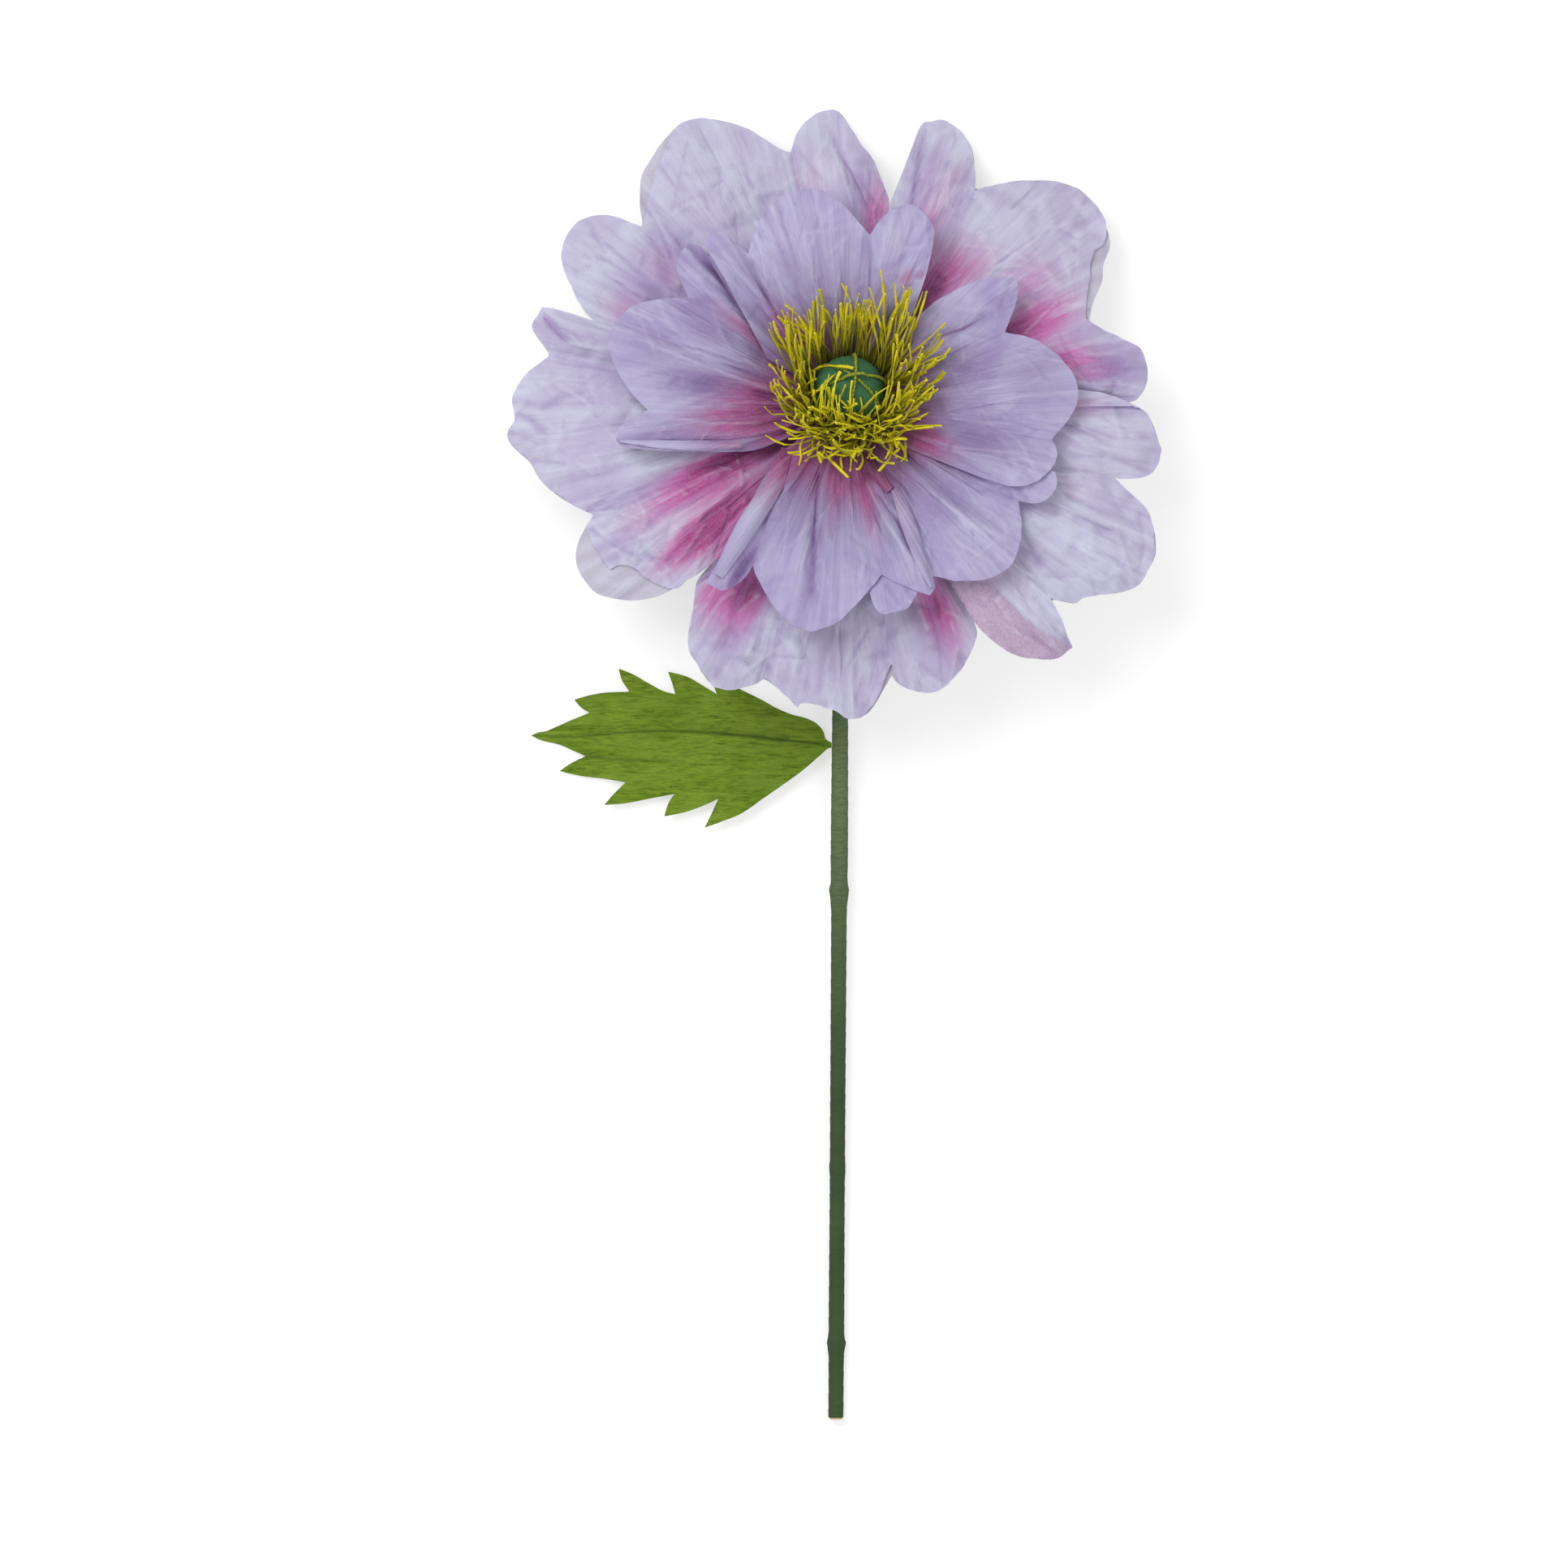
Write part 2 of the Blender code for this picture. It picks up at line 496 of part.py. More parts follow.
def build_stem(collection, cutters, parent):
    bamboo = new_material("bamboo", (0.62, 0.5, 0.3), 0.6)
    green_tape = new_material("green_tape", (0.06, 0.10, 0.04), 0.85)
    steel = new_material("wire_steel", (0.35, 0.36, 0.35), 0.4, 1.0)
    foot, direction, length = cane_line()

    wire_bore = WIRE_RADIUS + CLEARANCE
    bore_end = length - WIRE_IN_CANE - 2 * CLEARANCE
    profile = [(0, 0), *cane_profile(0.0, 0.0, length)]
    profile += [(wire_bore, length), (wire_bore, bore_end), (0, bore_end)]
    cane = turned("bamboo_cane", profile[::-1], TURN_STEPS, bamboo, collection, parent)
    stand_on(cane, foot, direction)

    inside = cane_profile(CLEARANCE, TAPE_END_GAP, length)
    outside = cane_profile(CLEARANCE + TAPE_THICKNESS, TAPE_END_GAP, length)
    tape = turned("stem_tape", outside[::-1] + inside, TURN_STEPS, green_tape, collection, parent)
    stand_on(tape, foot, direction)

    top = foot + direction * length
    bend_end = GATHER + HEAD_AXIS * (CLAW_FOOT - 2 * CLEARANCE)
    corner = bend_end - HEAD_AXIS * 14 * mm
    route = [foot + direction * (length - WIRE_IN_CANE), foot + direction * (length - WIRE_IN_CANE / 2),
             top, top.lerp(corner, 0.6), bend_end - HEAD_AXIS * 5 * mm, bend_end,
             bend_end.lerp(POD_MIDDLE, 0.5), POD_MIDDLE]
    bend = smooth_line([tuple(p) for p in route[2:6]], 7)
    wire_points = [route[0], route[1], *bend, route[6], route[7]]
    tube("neck_wire", wire_points, [WIRE_RADIUS] * len(wire_points), 8, steel, collection, parent)

    tape_points = [top + direction * CLEARANCE, top + direction * 2.5 * mm, *bend[1:]]
    outer = CANE_RADIUS + CLEARANCE + TAPE_THICKNESS
    neck = WIRE_RADIUS + NECK_TAPE
    radii = [outer, outer, outer, neck, neck, neck, neck * 1.2, FLARE_RADIUS * 0.75, FLARE_RADIUS]
    wrap = as_mesh(tube("neck_tape", tape_points, radii, 12, None, collection, parent), collection)
    wrap.data.materials.append(green_tape)
    bore_points = [bend[0] - direction * 5 * mm, *bend, bend[-1] + HEAD_AXIS * 5 * mm]
    bore = as_mesh(tube("neck_bore", bore_points, [wire_bore] * len(bore_points), 8, None, cutters, parent),
                   cutters)
    hide_guide(bore)
    cut(wrap, bore)

    pitch = 2 * TIE_WIRE_RADIUS
    side = TIE_INNER_RADIUS + TIE_WIRE_RADIUS
    bumps = [(TIE_INNER_RADIUS, (TIE_TURNS - 0.5) * pitch), (TIE_INNER_RADIUS, -0.5 * pitch)]
    for coil in range(TIE_TURNS):
        bumps.append((side, (coil - 0.5) * pitch + 0.1 * mm))
        bumps.append((side + TIE_WIRE_RADIUS, coil * pitch))
    bumps.append((side, (TIE_TURNS - 0.5) * pitch))
    tie = turned("petal_tie", bumps[::-1], TURN_STEPS, steel, collection, parent)
    stand_on(tie, GATHER + HEAD_AXIS * TIE_HEIGHT, HEAD_AXIS)


def build_petals(collection, parent):
    front_paper = new_material("lilac_paper", (0.46, 0.40, 0.62), 0.75)
    backing_paper = new_material("pale_paper", (0.62, 0.58, 0.66), 0.8)
    for name, ring, level, front, backing, _ in SHEETS:
        petal(name, ring, level, front, False, front_paper, collection, parent)
        if backing:
            petal(name + "_backing", ring, level, backing, True, backing_paper, collection, parent)


def build_pod(collection, cutters, parent):
    green = new_material("pod_crepe", (0.04, 0.11, 0.05), 0.8)
    olive = new_material("stamen_crepe", (0.36, 0.33, 0.02), 0.8)
    bm = bmesh.new()
    bmesh.ops.create_uvsphere(bm, u_segments=TURN_STEPS, v_segments=10, radius=POD_RADIUS)
    mesh = bpy.data.meshes.new("seed_pod")
    bm.to_mesh(mesh)
    bm.free()
    pod = new_object("seed_pod", mesh, green, collection, parent)
    pod.location = POD_MIDDLE

    bm = bmesh.new()
    bore_length = 2 * POD_RADIUS
    bmesh.ops.create_cone(bm, cap_ends=True, segments=12, radius1=WIRE_RADIUS + CLEARANCE,
                          radius2=WIRE_RADIUS + CLEARANCE, depth=bore_length)
    mesh = bpy.data.meshes.new("pod_bore")
    bm.to_mesh(mesh)
    bm.free()
    bore = new_object("pod_bore", mesh, None, cutters, parent)
    stand_on(bore, POD_MIDDLE - HEAD_AXIS * (bore_length / 2 - CLEARANCE), HEAD_AXIS)
    hide_guide(bore)
    cut(pod, bore)

    for number, bearing in enumerate(CORD_BEARINGS):
        points = []
        for step in range(17):
            angle = CORD_END_ANGLE * (step / 8 - 1)
            hump = 1 - smooth_step(abs(angle), 0.4 * CORD_HUMP_ANGLE, CORD_HUMP_ANGLE)
            rise = number * (2 * CORD_RADIUS + CLEARANCE) * hump
            radius = POD_RADIUS + CORD_RADIUS + CLEARANCE + rise
            across = radius * math.sin(angle)
            points.append(pod_place(across * math.cos(math.radians(bearing)),
                                    across * math.sin(math.radians(bearing)), radius * math.cos(angle)))
        tube(f"pod_cord_{number + 1}", points, [CORD_RADIUS] * len(points), 6, olive, collection, parent)

    fringe("stamen_fringe_inner", INNER_BAND, INNER_STRAND, 0.0, olive, collection, parent)
    fringe("stamen_fringe_outer", OUTER_BAND, OUTER_STRAND, 0.5, olive, collection, parent)


def pod_place(x, y, height):
    """Place of a point given round the pod's middle, with the pod's own lean."""
    lean = Matrix.Rotation(-POD_LEAN, 3, "X")
    return POD_MIDDLE + lean @ Vector((x, y, height))


def fringe(name, band, strand, turn, material, collection, parent):
    """A strip of crepe round the pod, cut into strands that stand up from its band."""
    count = 2 * FRINGE_STRANDS
    bm = bmesh.new()
    section = [(band[0][0], band[0][1]), (band[1][0], band[1][1]),
               (band[1][0] + BAND_THICKNESS / mm, band[1][1] - 0.4),
               (band[0][0] + BAND_THICKNESS / mm, band[0][1] - 0.4)]
    rings = []
    for k in range(count):
        bearing = 2 * math.pi * (k + turn) / count
        rings.append([bm.verts.new((r * mm * math.cos(bearing), r * mm * math.sin(bearing), h * mm))
                      for r, h in section])
    tops = []
    for k, ring in enumerate(rings):
        following = rings[(k + 1) % count]
        for side in range(4):
            ahead = (side + 1) % 4
            face = bm.faces.new((ring[side], ring[ahead], following[ahead], following[side]))
            if side == 1 and k % 2 == 0:
                tops.append(face)
    middle = (band[1][0] + BAND_THICKNESS / mm / 2, band[1][1] - 0.2)
    course = [middle, *strand]
    for top in tops:
        face = top
        centre = face.calc_center_median()
        bearing = math.atan2(centre.y, centre.x)
        outward = Vector((math.cos(bearing), math.sin(bearing), 0))
        for step, (r, h) in enumerate(course[1:]):
            goal = outward * r * mm + Vector((0, 0, h * mm))
            new = bmesh.ops.extrude_discrete_faces(bm, faces=[face])["faces"][0]
            now = new.calc_center_median()
            shrink = 1 - (1 - STRAND_TIP_SHARE) * 0.5 if step else 1.0
            for vert in new.verts:
                vert.co = goal + (vert.co - now) * shrink
            face = new
    bmesh.ops.recalc_face_normals(bm, faces=bm.faces)
    for vert in bm.verts:
        vert.co = pod_place(*vert.co)
    mesh = bpy.data.meshes.new(name)
    bm.to_mesh(mesh)
    bm.free()
    return new_object(name, mesh, material, collection, parent)


def leaf_height(x, y, midrib_y, stalk_height):
    """The leaf slopes from its stalk to the table, with its edges a little up and one soft wave."""
    along = (LEAF_BASE[0] - x) / (LEAF_BASE[0] - LEAF_MIDRIB[-1][0])
    fall = (stalk_height - LEAF_REST_HEIGHT) * (1 - min(1.0, along)) ** 2.2
    edge = LEAF_EDGE_RISE * ((y - midrib_y) / LEAF_HALF_WIDTH) ** 2
    wave = 1.0 * mm * (1 - math.cos(4.5 * math.pi * along)) * min(1.0, 2 * along)
    return LEAF_REST_HEIGHT + fall + edge + wave


def build_leaf(collection, parent):
    """One sheet of crepe with a toothed edge, creased at its midrib and gathered at the stem."""
    green = new_material("leaf_crepe", (0.12, 0.20, 0.02), 0.85)
    foot, direction, _ = cane_line()
    share = (LEAF_BASE[1] * mm - foot.y) / direction.y
    stalk_height = (foot + direction * share).z
    rows = []
    for edge in (LEAF_UPPER_EDGE, LEAF_LOWER_EDGE):
        roots = [max(p[0] for p in edge[k:]) for k in range(len(edge))]
        middles = []
        ends = []
        ribs = []
        for root, (x, y) in zip(roots, edge):
            rib = midrib_height(root)
            ribs.append(Vector((root * mm, rib * mm, leaf_height(root, rib, rib, stalk_height))))
            half_x = (root + x) / 2
            half_y = (rib + y) / 2
            middles.append(Vector((half_x * mm, half_y * mm,
                                   leaf_height(half_x, half_y, midrib_height(half_x), stalk_height))))
            ends.append(Vector((x * mm, y * mm, leaf_height(x, y, midrib_height(x), stalk_height))))
        rows.append([ribs, middles, ends])
    upper, lower = rows
    places = [upper[2], upper[1], upper[0], lower[1], lower[2]]
    leaf = new_object("leaf", grid_mesh("leaf", places), green, collection, parent)
    thicken(leaf, LEAF_PAPER)


def midrib_height(x):
    """y of the midrib at x, in millimetres."""
    for (x0, y0), (x1, y1) in zip(LEAF_MIDRIB, LEAF_MIDRIB[1:]):
        if x >= x1:
            return y0 + (y1 - y0) * (x - x0) / (x1 - x0)
    return LEAF_MIDRIB[-1][1]


def put_origin_below_middle(root, collection):
    """Moves everything so that the origin is under the middle of the whole object, on the table."""
    bpy.context.view_layer.update()
    graph = bpy.context.evaluated_depsgraph_get()
    corners = []
    for thing in collection.objects:
        mesh = thing.evaluated_get(graph).to_mesh()
        corners += [thing.matrix_world @ v.co for v in mesh.vertices]
    low = [min(c[axis] for c in corners) for axis in range(3)]
    high = [max(c[axis] for c in corners) for axis in range(3)]
    root.location = (-(low[0] + high[0]) / 2, -(low[1] + high[1]) / 2, -low[2])


def main():
    clear_scene()
    parts = new_collection("paper_flower")
    cutters = new_collection("cutters")
    cutters.hide_render = True
    root = bpy.data.objects.new("flower_origin", None)
    bpy.context.scene.collection.objects.link(root)
    build_stem(parts, cutters, root)
    build_petals(parts, root)
    build_pod(parts, cutters, root)
    build_leaf(parts, root)
    put_origin_below_middle(root, parts)


main()
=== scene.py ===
# A paper flower on a bamboo cane, lying on its back on a white table and seen from straight above.
import math

import bmesh
import bpy
import numpy as np
from mathutils import Matrix, Vector
from mathutils.geometry import delaunay_2d_cdt


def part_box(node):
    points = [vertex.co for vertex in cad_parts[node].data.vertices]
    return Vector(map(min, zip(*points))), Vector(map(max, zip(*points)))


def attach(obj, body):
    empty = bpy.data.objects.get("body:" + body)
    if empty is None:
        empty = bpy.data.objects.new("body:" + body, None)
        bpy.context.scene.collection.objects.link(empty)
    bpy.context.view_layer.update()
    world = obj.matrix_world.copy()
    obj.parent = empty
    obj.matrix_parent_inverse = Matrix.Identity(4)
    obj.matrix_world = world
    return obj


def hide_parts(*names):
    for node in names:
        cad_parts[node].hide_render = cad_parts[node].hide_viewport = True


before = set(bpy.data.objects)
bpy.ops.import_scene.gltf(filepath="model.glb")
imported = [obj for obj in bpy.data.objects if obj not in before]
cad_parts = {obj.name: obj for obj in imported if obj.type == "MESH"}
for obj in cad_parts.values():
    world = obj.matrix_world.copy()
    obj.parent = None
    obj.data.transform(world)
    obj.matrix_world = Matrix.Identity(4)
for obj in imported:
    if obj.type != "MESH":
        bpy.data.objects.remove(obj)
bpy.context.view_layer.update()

# Table, lamps and camera
# The table is white board that keeps the flower's soft shadow. A soft lamp hangs over the head's
# left shoulder with a wide, weak one opposite, in a bright white room, and the camera is straight
# above, where the open flower is seen face on.
mm = 0.001
PHOTO_WIDTH = 966 * mm
PHOTO_MIDDLE_FROM_POD = Vector((-40, -242, 0)) * mm
PETAL_HEIGHT = 60 * mm
CAMERA_HEIGHT = 30.0
SENSOR = 36.0
TABLE_SIZE = 12.0

pod_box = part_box("seed_pod")
POD_MIDDLE = (Vector(pod_box[0]) + Vector(pod_box[1])) / 2


def node(tree, kind, sockets=None, **settings):
    """Adds a node. sockets gives an input, by name or number, its value or the output that feeds it."""
    made = tree.nodes.new(kind)
    for name, value in settings.items():
        setattr(made, name, value)
    for key, value in (sockets or {}).items():
        if isinstance(value, bpy.types.NodeSocket):
            tree.links.new(value, made.inputs[key])
        else:
            made.inputs[key].default_value = value
    return made


def new_material(name):
    """A material with its Principled shader, and the tree they are in."""
    material = bpy.data.materials.new(name)
    material.use_nodes = True
    return material, material.node_tree, material.node_tree.nodes["Principled BSDF"]


def maths(tree, operation, *values):
    return node(tree, "ShaderNodeMath", dict(enumerate(values)), operation=operation).outputs[0]


def spread(tree, value, low, high, to_low=0.0, to_high=1.0):
    """value moved from low..high to to_low..to_high, and held there."""
    return node(tree, "ShaderNodeMapRange", {0: value, 1: low, 2: high, 3: to_low, 4: to_high}).outputs[0]


def add_table():
    material, tree, shader = new_material("white_board")
    path = node(tree, "ShaderNodeLightPath")
    seen = maths(tree, "MAXIMUM", path.outputs["Is Camera Ray"],
                 maths(tree, "MAXIMUM", path.outputs["Is Glossy Ray"], path.outputs["Is Transmission Ray"]))
    board = node(tree, "ShaderNodeBsdfDiffuse", {"Color": (0.82, 0.82, 0.82, 1)})
    shown = node(tree, "ShaderNodeBsdfDiffuse", {"Color": (0.46, 0.46, 0.46, 1)})
    glow = node(tree, "ShaderNodeEmission", {"Color": (1, 1, 1, 1), "Strength": 0.59})
    bright = node(tree, "ShaderNodeAddShader", {0: shown.outputs[0], 1: glow.outputs[0]})
    mix = node(tree, "ShaderNodeMixShader", {0: seen, 1: board.outputs[0], 2: bright.outputs[0]})
    tree.links.new(mix.outputs[0], tree.nodes["Material Output"].inputs["Surface"])
    tree.nodes.remove(shader)
    half = TABLE_SIZE / 2
    mesh = bpy.data.meshes.new("table_top")
    corners = [(-half, -half, 0), (half, -half, 0), (half, half, 0), (-half, half, 0)]
    mesh.from_pydata(corners, [], [(0, 1, 2, 3)])
    mesh.materials.append(material)
    table = bpy.data.objects.new("table_top", mesh)
    bpy.context.scene.collection.objects.link(table)


def add_lamp(name, place, size, power):
    light = bpy.data.lights.new(name, "AREA")
    light.shape = "DISK"
    light.size = size
    light.energy = power
    lamp = bpy.data.objects.new(name, light)
    lamp.location = POD_MIDDLE + Vector(place)
    lamp.rotation_euler = (-Vector(place)).to_track_quat("-Z", "Y").to_euler()
    bpy.context.scene.collection.objects.link(lamp)


add_table()
add_lamp("soft_lamp_left", (-1.1, 1.0, 2.6), 1.9, 60.0)
add_lamp("soft_lamp_right", (1.6, -1.1, 2.2), 2.0, 22.0)

world = bpy.data.worlds.new("white_room")
world.use_nodes = True
bpy.context.scene.world = world
sky = world.node_tree
room_path = node(sky, "ShaderNodeLightPath")
room_light = spread(sky, room_path.outputs["Is Camera Ray"], 0.0, 1.0, 0.56, 1.0)
sky.links.new(room_light, sky.nodes["Background"].inputs["Strength"])
sky.nodes["Background"].inputs["Color"].default_value = (1, 1, 1, 1)

camera_data = bpy.data.cameras.new("camera")
camera_data.sensor_width = SENSOR
camera_data.lens = SENSOR * (CAMERA_HEIGHT - PETAL_HEIGHT) / PHOTO_WIDTH
camera_data.clip_end = 100
camera = bpy.data.objects.new("camera", camera_data)
photo_middle = POD_MIDDLE + PHOTO_MIDDLE_FROM_POD
camera.location = (photo_middle.x, photo_middle.y, CAMERA_HEIGHT)
bpy.context.scene.collection.objects.link(camera)
bpy.context.scene.camera = camera
bpy.context.scene.view_settings.view_transform = "Standard"


# Bamboo cane
# A thin dried cane, straight, with three joints that swell through its tape. It is sawn off square
# at the foot, where its pale fibres show, and the wire is pushed into its other end.


def painted(red, green, blue):
    """A colour read off the photograph as 0 to 255, made linear."""
    linear = []
    for value in (red, green, blue):
        value /= 255
        linear.append(value / 12.92 if value <= 0.04045 else ((value + 0.055) / 1.055) ** 2.4)
    return (*linear, 1.0)


def blended(tree, factor, first, second, how="MIX"):
    """The colour between first and second, by factor."""
    mix = node(tree, "ShaderNodeMix", {0: factor, 6: first, 7: second}, data_type="RGBA", blend_type=how)
    return mix.outputs[2]


def noise(tree, place, scale, detail, roughness=0.5, distortion=0.0, kind="FBM"):
    """Uneven values from 0 to 1 all over a piece."""
    sizes = {"Vector": place, "Scale": scale, "Detail": detail, "Roughness": roughness,
             "Distortion": distortion}
    return node(tree, "ShaderNodeTexNoise", sizes, noise_type=kind).outputs[0]


def finish_surface(tree, shader, colour, roughness, height, strength, depth, specular=0.5):
    """Gives a shader its colour, its gloss and a fine relief of a depth in metres, and returns the relief."""
    tree.links.new(colour, shader.inputs["Base Color"])
    shader.inputs["Roughness"].default_value = roughness
    shader.inputs["Specular IOR Level"].default_value = specular
    bump = node(tree, "ShaderNodeBump", {"Height": height, "Strength": strength,
                                         "Distance": depth}).outputs[0]
    tree.links.new(bump, shader.inputs["Normal"])
    return bump


bamboo, tree, shader = new_material("bamboo")
place = node(tree, "ShaderNodeTexCoord").outputs["Object"]
fibres = noise(tree, place, 2600.0, 3.0)
stain = noise(tree, place, 300.0, 4.0)
wood = blended(tree, spread(tree, fibres, 0.4, 0.62), painted(214, 190, 140), painted(150, 116, 70))
wood = blended(tree, spread(tree, stain, 0.45, 0.75, 0.0, 0.5), wood, painted(122, 96, 60))
finish_surface(tree, shader, wood, 0.6, fibres, 0.4, 0.0002)
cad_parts["bamboo_cane"].material_slots[0].material = bamboo


# Neck wire
# A stiff steel wire from the cane's top through the gathered paper into the pod. It carries the
# head, and its bend turns the flower's face away from the line of the stem.
wire_steel, tree, shader = new_material("wire_steel")
place = node(tree, "ShaderNodeTexCoord").outputs["Object"]
drawn = noise(tree, place, 900.0, 4.0)
steel = blended(tree, spread(tree, drawn, 0.4, 0.7), painted(150, 152, 150), painted(96, 98, 96))
tree.links.new(steel, shader.inputs["Base Color"])
tree.links.new(spread(tree, drawn, 0.3, 0.7, 0.3, 0.5), shader.inputs["Roughness"])
shader.inputs["Metallic"].default_value = 1.0
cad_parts["neck_wire"].material_slots[0].material = wire_steel


# Stem tape and neck tape
# Green crepe tape is stretched and wound in a slanting spiral up the whole cane and on over the
# bend of the wire. Each turn covers the edge of the last, so a low step runs round the stem.
TAPE_PITCH = 9.5 * mm
TAPE_STEP = 0.22 * mm
TAPE_RINGS = 0.9 * mm
TAPE_SIDES = 44
CANE_FOOT_FROM_POD = Vector((-8.0, -634, 0)) * mm
CANE_TOP_FROM_POD = Vector((-4.4, -46, 0)) * mm
TAPE_OUTER_RADIUS = 4.75 * mm
TAPE_BARE_FOOT = 1.2 * mm
CANE_LENGTH = 588.2 * mm
CANE_MIDDLE_HEIGHT = 4.8 * mm
CANE_TOP_RISE = 14.2 * mm
STEM_STATIONS = 320
# Each joint of the cane: distance from the foot, swelling, and reach below and above it, in mm
CANE_JOINTS = [(47, 1.2, 9, 7), (155, 0.45, 8, 8), (327, 1.15, 14, 6)]
# Slow changes of the stem's thickness: distance from the foot and radius added, in mm
CANE_WAVES = [(0, -0.15), (20, -0.2), (60, 0.0), (130, -0.2), (250, -0.1), (310, -0.05), (345, 0.5),
              (380, 0.4), (425, 0.1), (520, -0.1), (588, 0.0)]


def path_mesh(name, strands, girths, twists):
    """Open lines of points. Each point has its girth in metres, and each line its twist in turns a metre."""
    points = [point for strand in strands for point in strand]
    edges = []
    first = 0
    for strand in strands:
        edges += [(first + k, first + k + 1) for k in range(len(strand) - 1)]
        first += len(strand)
    mesh = bpy.data.meshes.new(name)
    mesh.from_pydata([tuple(p) for p in points], edges, [])
    attributes = {"girth": [value for line in girths for value in line],
                  "twist": [value for value, strand in zip(twists, strands) for _ in strand],
                  "strand": [k for k, strand in enumerate(strands) for _ in strand]}
    for attribute, values in attributes.items():
        mesh.attributes.new(attribute, "FLOAT", "POINT").data.foreach_set("value", values)
    return mesh


def new_group(name, sizes):
    """A Geometry Nodes tree with geometry in and out and the named sizes as inputs."""
    group = bpy.data.node_groups.new(name, "GeometryNodeTree")
    group.interface.new_socket("Geometry", in_out="INPUT", socket_type="NodeSocketGeometry")
    for size, kind in sizes:
        group.interface.new_socket(size, in_out="INPUT", socket_type="NodeSocket" + kind)
    group.interface.new_socket("Geometry", in_out="OUTPUT", socket_type="NodeSocketGeometry")
    return group, node(group, "NodeGroupInput").outputs


def named(group, name):
    return node(group, "GeometryNodeInputNamedAttribute", {"Name": name}, data_type="FLOAT").outputs[0]


def stored(group, geometry, name, value):
    return node(group, "GeometryNodeStoreNamedAttribute",
                {"Geometry": geometry, "Name": name, "Value": value}, data_type="FLOAT",
                domain="POINT").outputs[0]


def finish_group(group, geometry, material):
    """Ends a tree: realises it, shades it smooth, gives it its material and puts it out."""
    real = node(group, "GeometryNodeRealizeInstances", {0: geometry}).outputs[0]
    smooth = node(group, "GeometryNodeSetShadeSmooth", {0: real}).outputs[0]
    dressed = node(group, "GeometryNodeSetMaterial", {"Geometry": smooth, "Material": material}).outputs[0]
    node(group, "NodeGroupOutput", {0: dressed})


def made_by(group, mesh, name, values):
    """The plain mesh object that the tree makes of the mesh, at the given values."""
    path = bpy.data.objects.new(name + "_path", mesh)
    bpy.context.scene.collection.objects.link(path)
    modifier = path.modifiers.new("make", "NODES")
    modifier.node_group = group
    for item in group.interface.items_tree:
        if item.in_out == "INPUT" and item.name in values:
            modifier[item.identifier] = values[item.name]
    path.update_tag()
    graph = bpy.context.evaluated_depsgraph_get()
    made = bpy.data.meshes.new_from_object(path.evaluated_get(graph))
    bpy.data.objects.remove(path)
    thing = bpy.data.objects.new(name, made)
    bpy.context.scene.collection.objects.link(thing)
    return thing


def outward(thing):
    """Merges doubled points and turns every face outwards."""
    bm = bmesh.new()
    bm.from_mesh(thing.data)
    bmesh.ops.remove_doubles(bm, verts=bm.verts, dist=0.01 * mm)
    bmesh.ops.recalc_face_normals(bm, faces=bm.faces)
    bm.to_mesh(thing.data)
    bm.free()


def carried(tree, name):
    """The values that a piece's points carry under a name."""
    return node(tree, "ShaderNodeAttribute", attribute_name=name).outputs["Fac"]


wound_tape, given = new_group("wound_tape", [("Pitch", "Float"), ("Step", "Float"), ("Ring Spacing", "Float"),
                                             ("Sides", "Int"), ("Tape", "Material")])
line = node(wound_tape, "GeometryNodeMeshToCurve", {0: given["Geometry"]}).outputs[0]
line = node(wound_tape, "GeometryNodeResampleCurve", {0: line, "Length": given["Ring Spacing"]},
            mode="LENGTH").outputs[0]
line = stored(wound_tape, line, "along", node(wound_tape, "GeometryNodeSplineParameter").outputs["Length"])
ring = node(wound_tape, "GeometryNodeCurvePrimitiveCircle",
            {"Resolution": given["Sides"], "Radius": 1.0}).outputs[0]
ring = stored(wound_tape, ring, "around", node(wound_tape, "GeometryNodeSplineParameter").outputs["Factor"])
sweep = {"Curve": line, "Profile Curve": ring, "Scale": named(wound_tape, "girth"), "Fill Caps": True}
tube = node(wound_tape, "GeometryNodeCurveToMesh", sweep).outputs[0]
turns = maths(wound_tape, "DIVIDE", named(wound_tape, "along"), given["Pitch"])
phase = maths(wound_tape, "FRACT", maths(wound_tape, "ADD", turns, named(wound_tape, "around")))
tube = stored(wound_tape, tube, "phase", phase)
rise = maths(wound_tape, "MULTIPLY", phase, given["Step"])
outwards = node(wound_tape, "GeometryNodeInputNormal").outputs[0]
lift = node(wound_tape, "ShaderNodeVectorMath", {0: outwards, "Scale": rise}, operation="SCALE").outputs[0]
tube = node(wound_tape, "GeometryNodeSetPosition", {"Geometry": tube, "Offset": lift}).outputs[0]
finish_group(wound_tape, tube, given["Tape"])

stem_green, tree, shader = new_material("stem_crepe_tape")
place = node(tree, "ShaderNodeTexCoord").outputs["Object"]
slant = node(tree, "ShaderNodeMapping", {"Vector": place, "Rotation": (0, 0, 0.22),
                                         "Scale": (1, 9, 1)}).outputs[0]
wrinkle = noise(tree, slant, 190.0, 6.0, roughness=0.62)
coarse = noise(tree, slant, 46.0, 3.0)
cloudy = noise(tree, place, 24.0, 3.0)
# Painted shade: the tape is darker in a narrow band at the foot of each turn's step
edge = spread(tree, carried(tree, "phase"), 0.0, 0.12, 1.0, 0.0)
# Painted light: the tape is lighter up the stem towards the head, to make up for the head's shadow over it
painted_light_up_stem = spread(tree, carried(tree, "along"), 0.24, 0.4)
green = blended(tree, spread(tree, cloudy, 0.35, 0.68), painted(54, 72, 43), painted(67, 86, 53))
green = blended(tree, painted_light_up_stem, green, painted(103, 122, 80))
green = blended(tree, spread(tree, wrinkle, 0.35, 0.62, 0.5, 0.0), green, painted(46, 64, 38))
green = blended(tree, maths(tree, "MULTIPLY", edge, 0.55), green, painted(50, 70, 46))
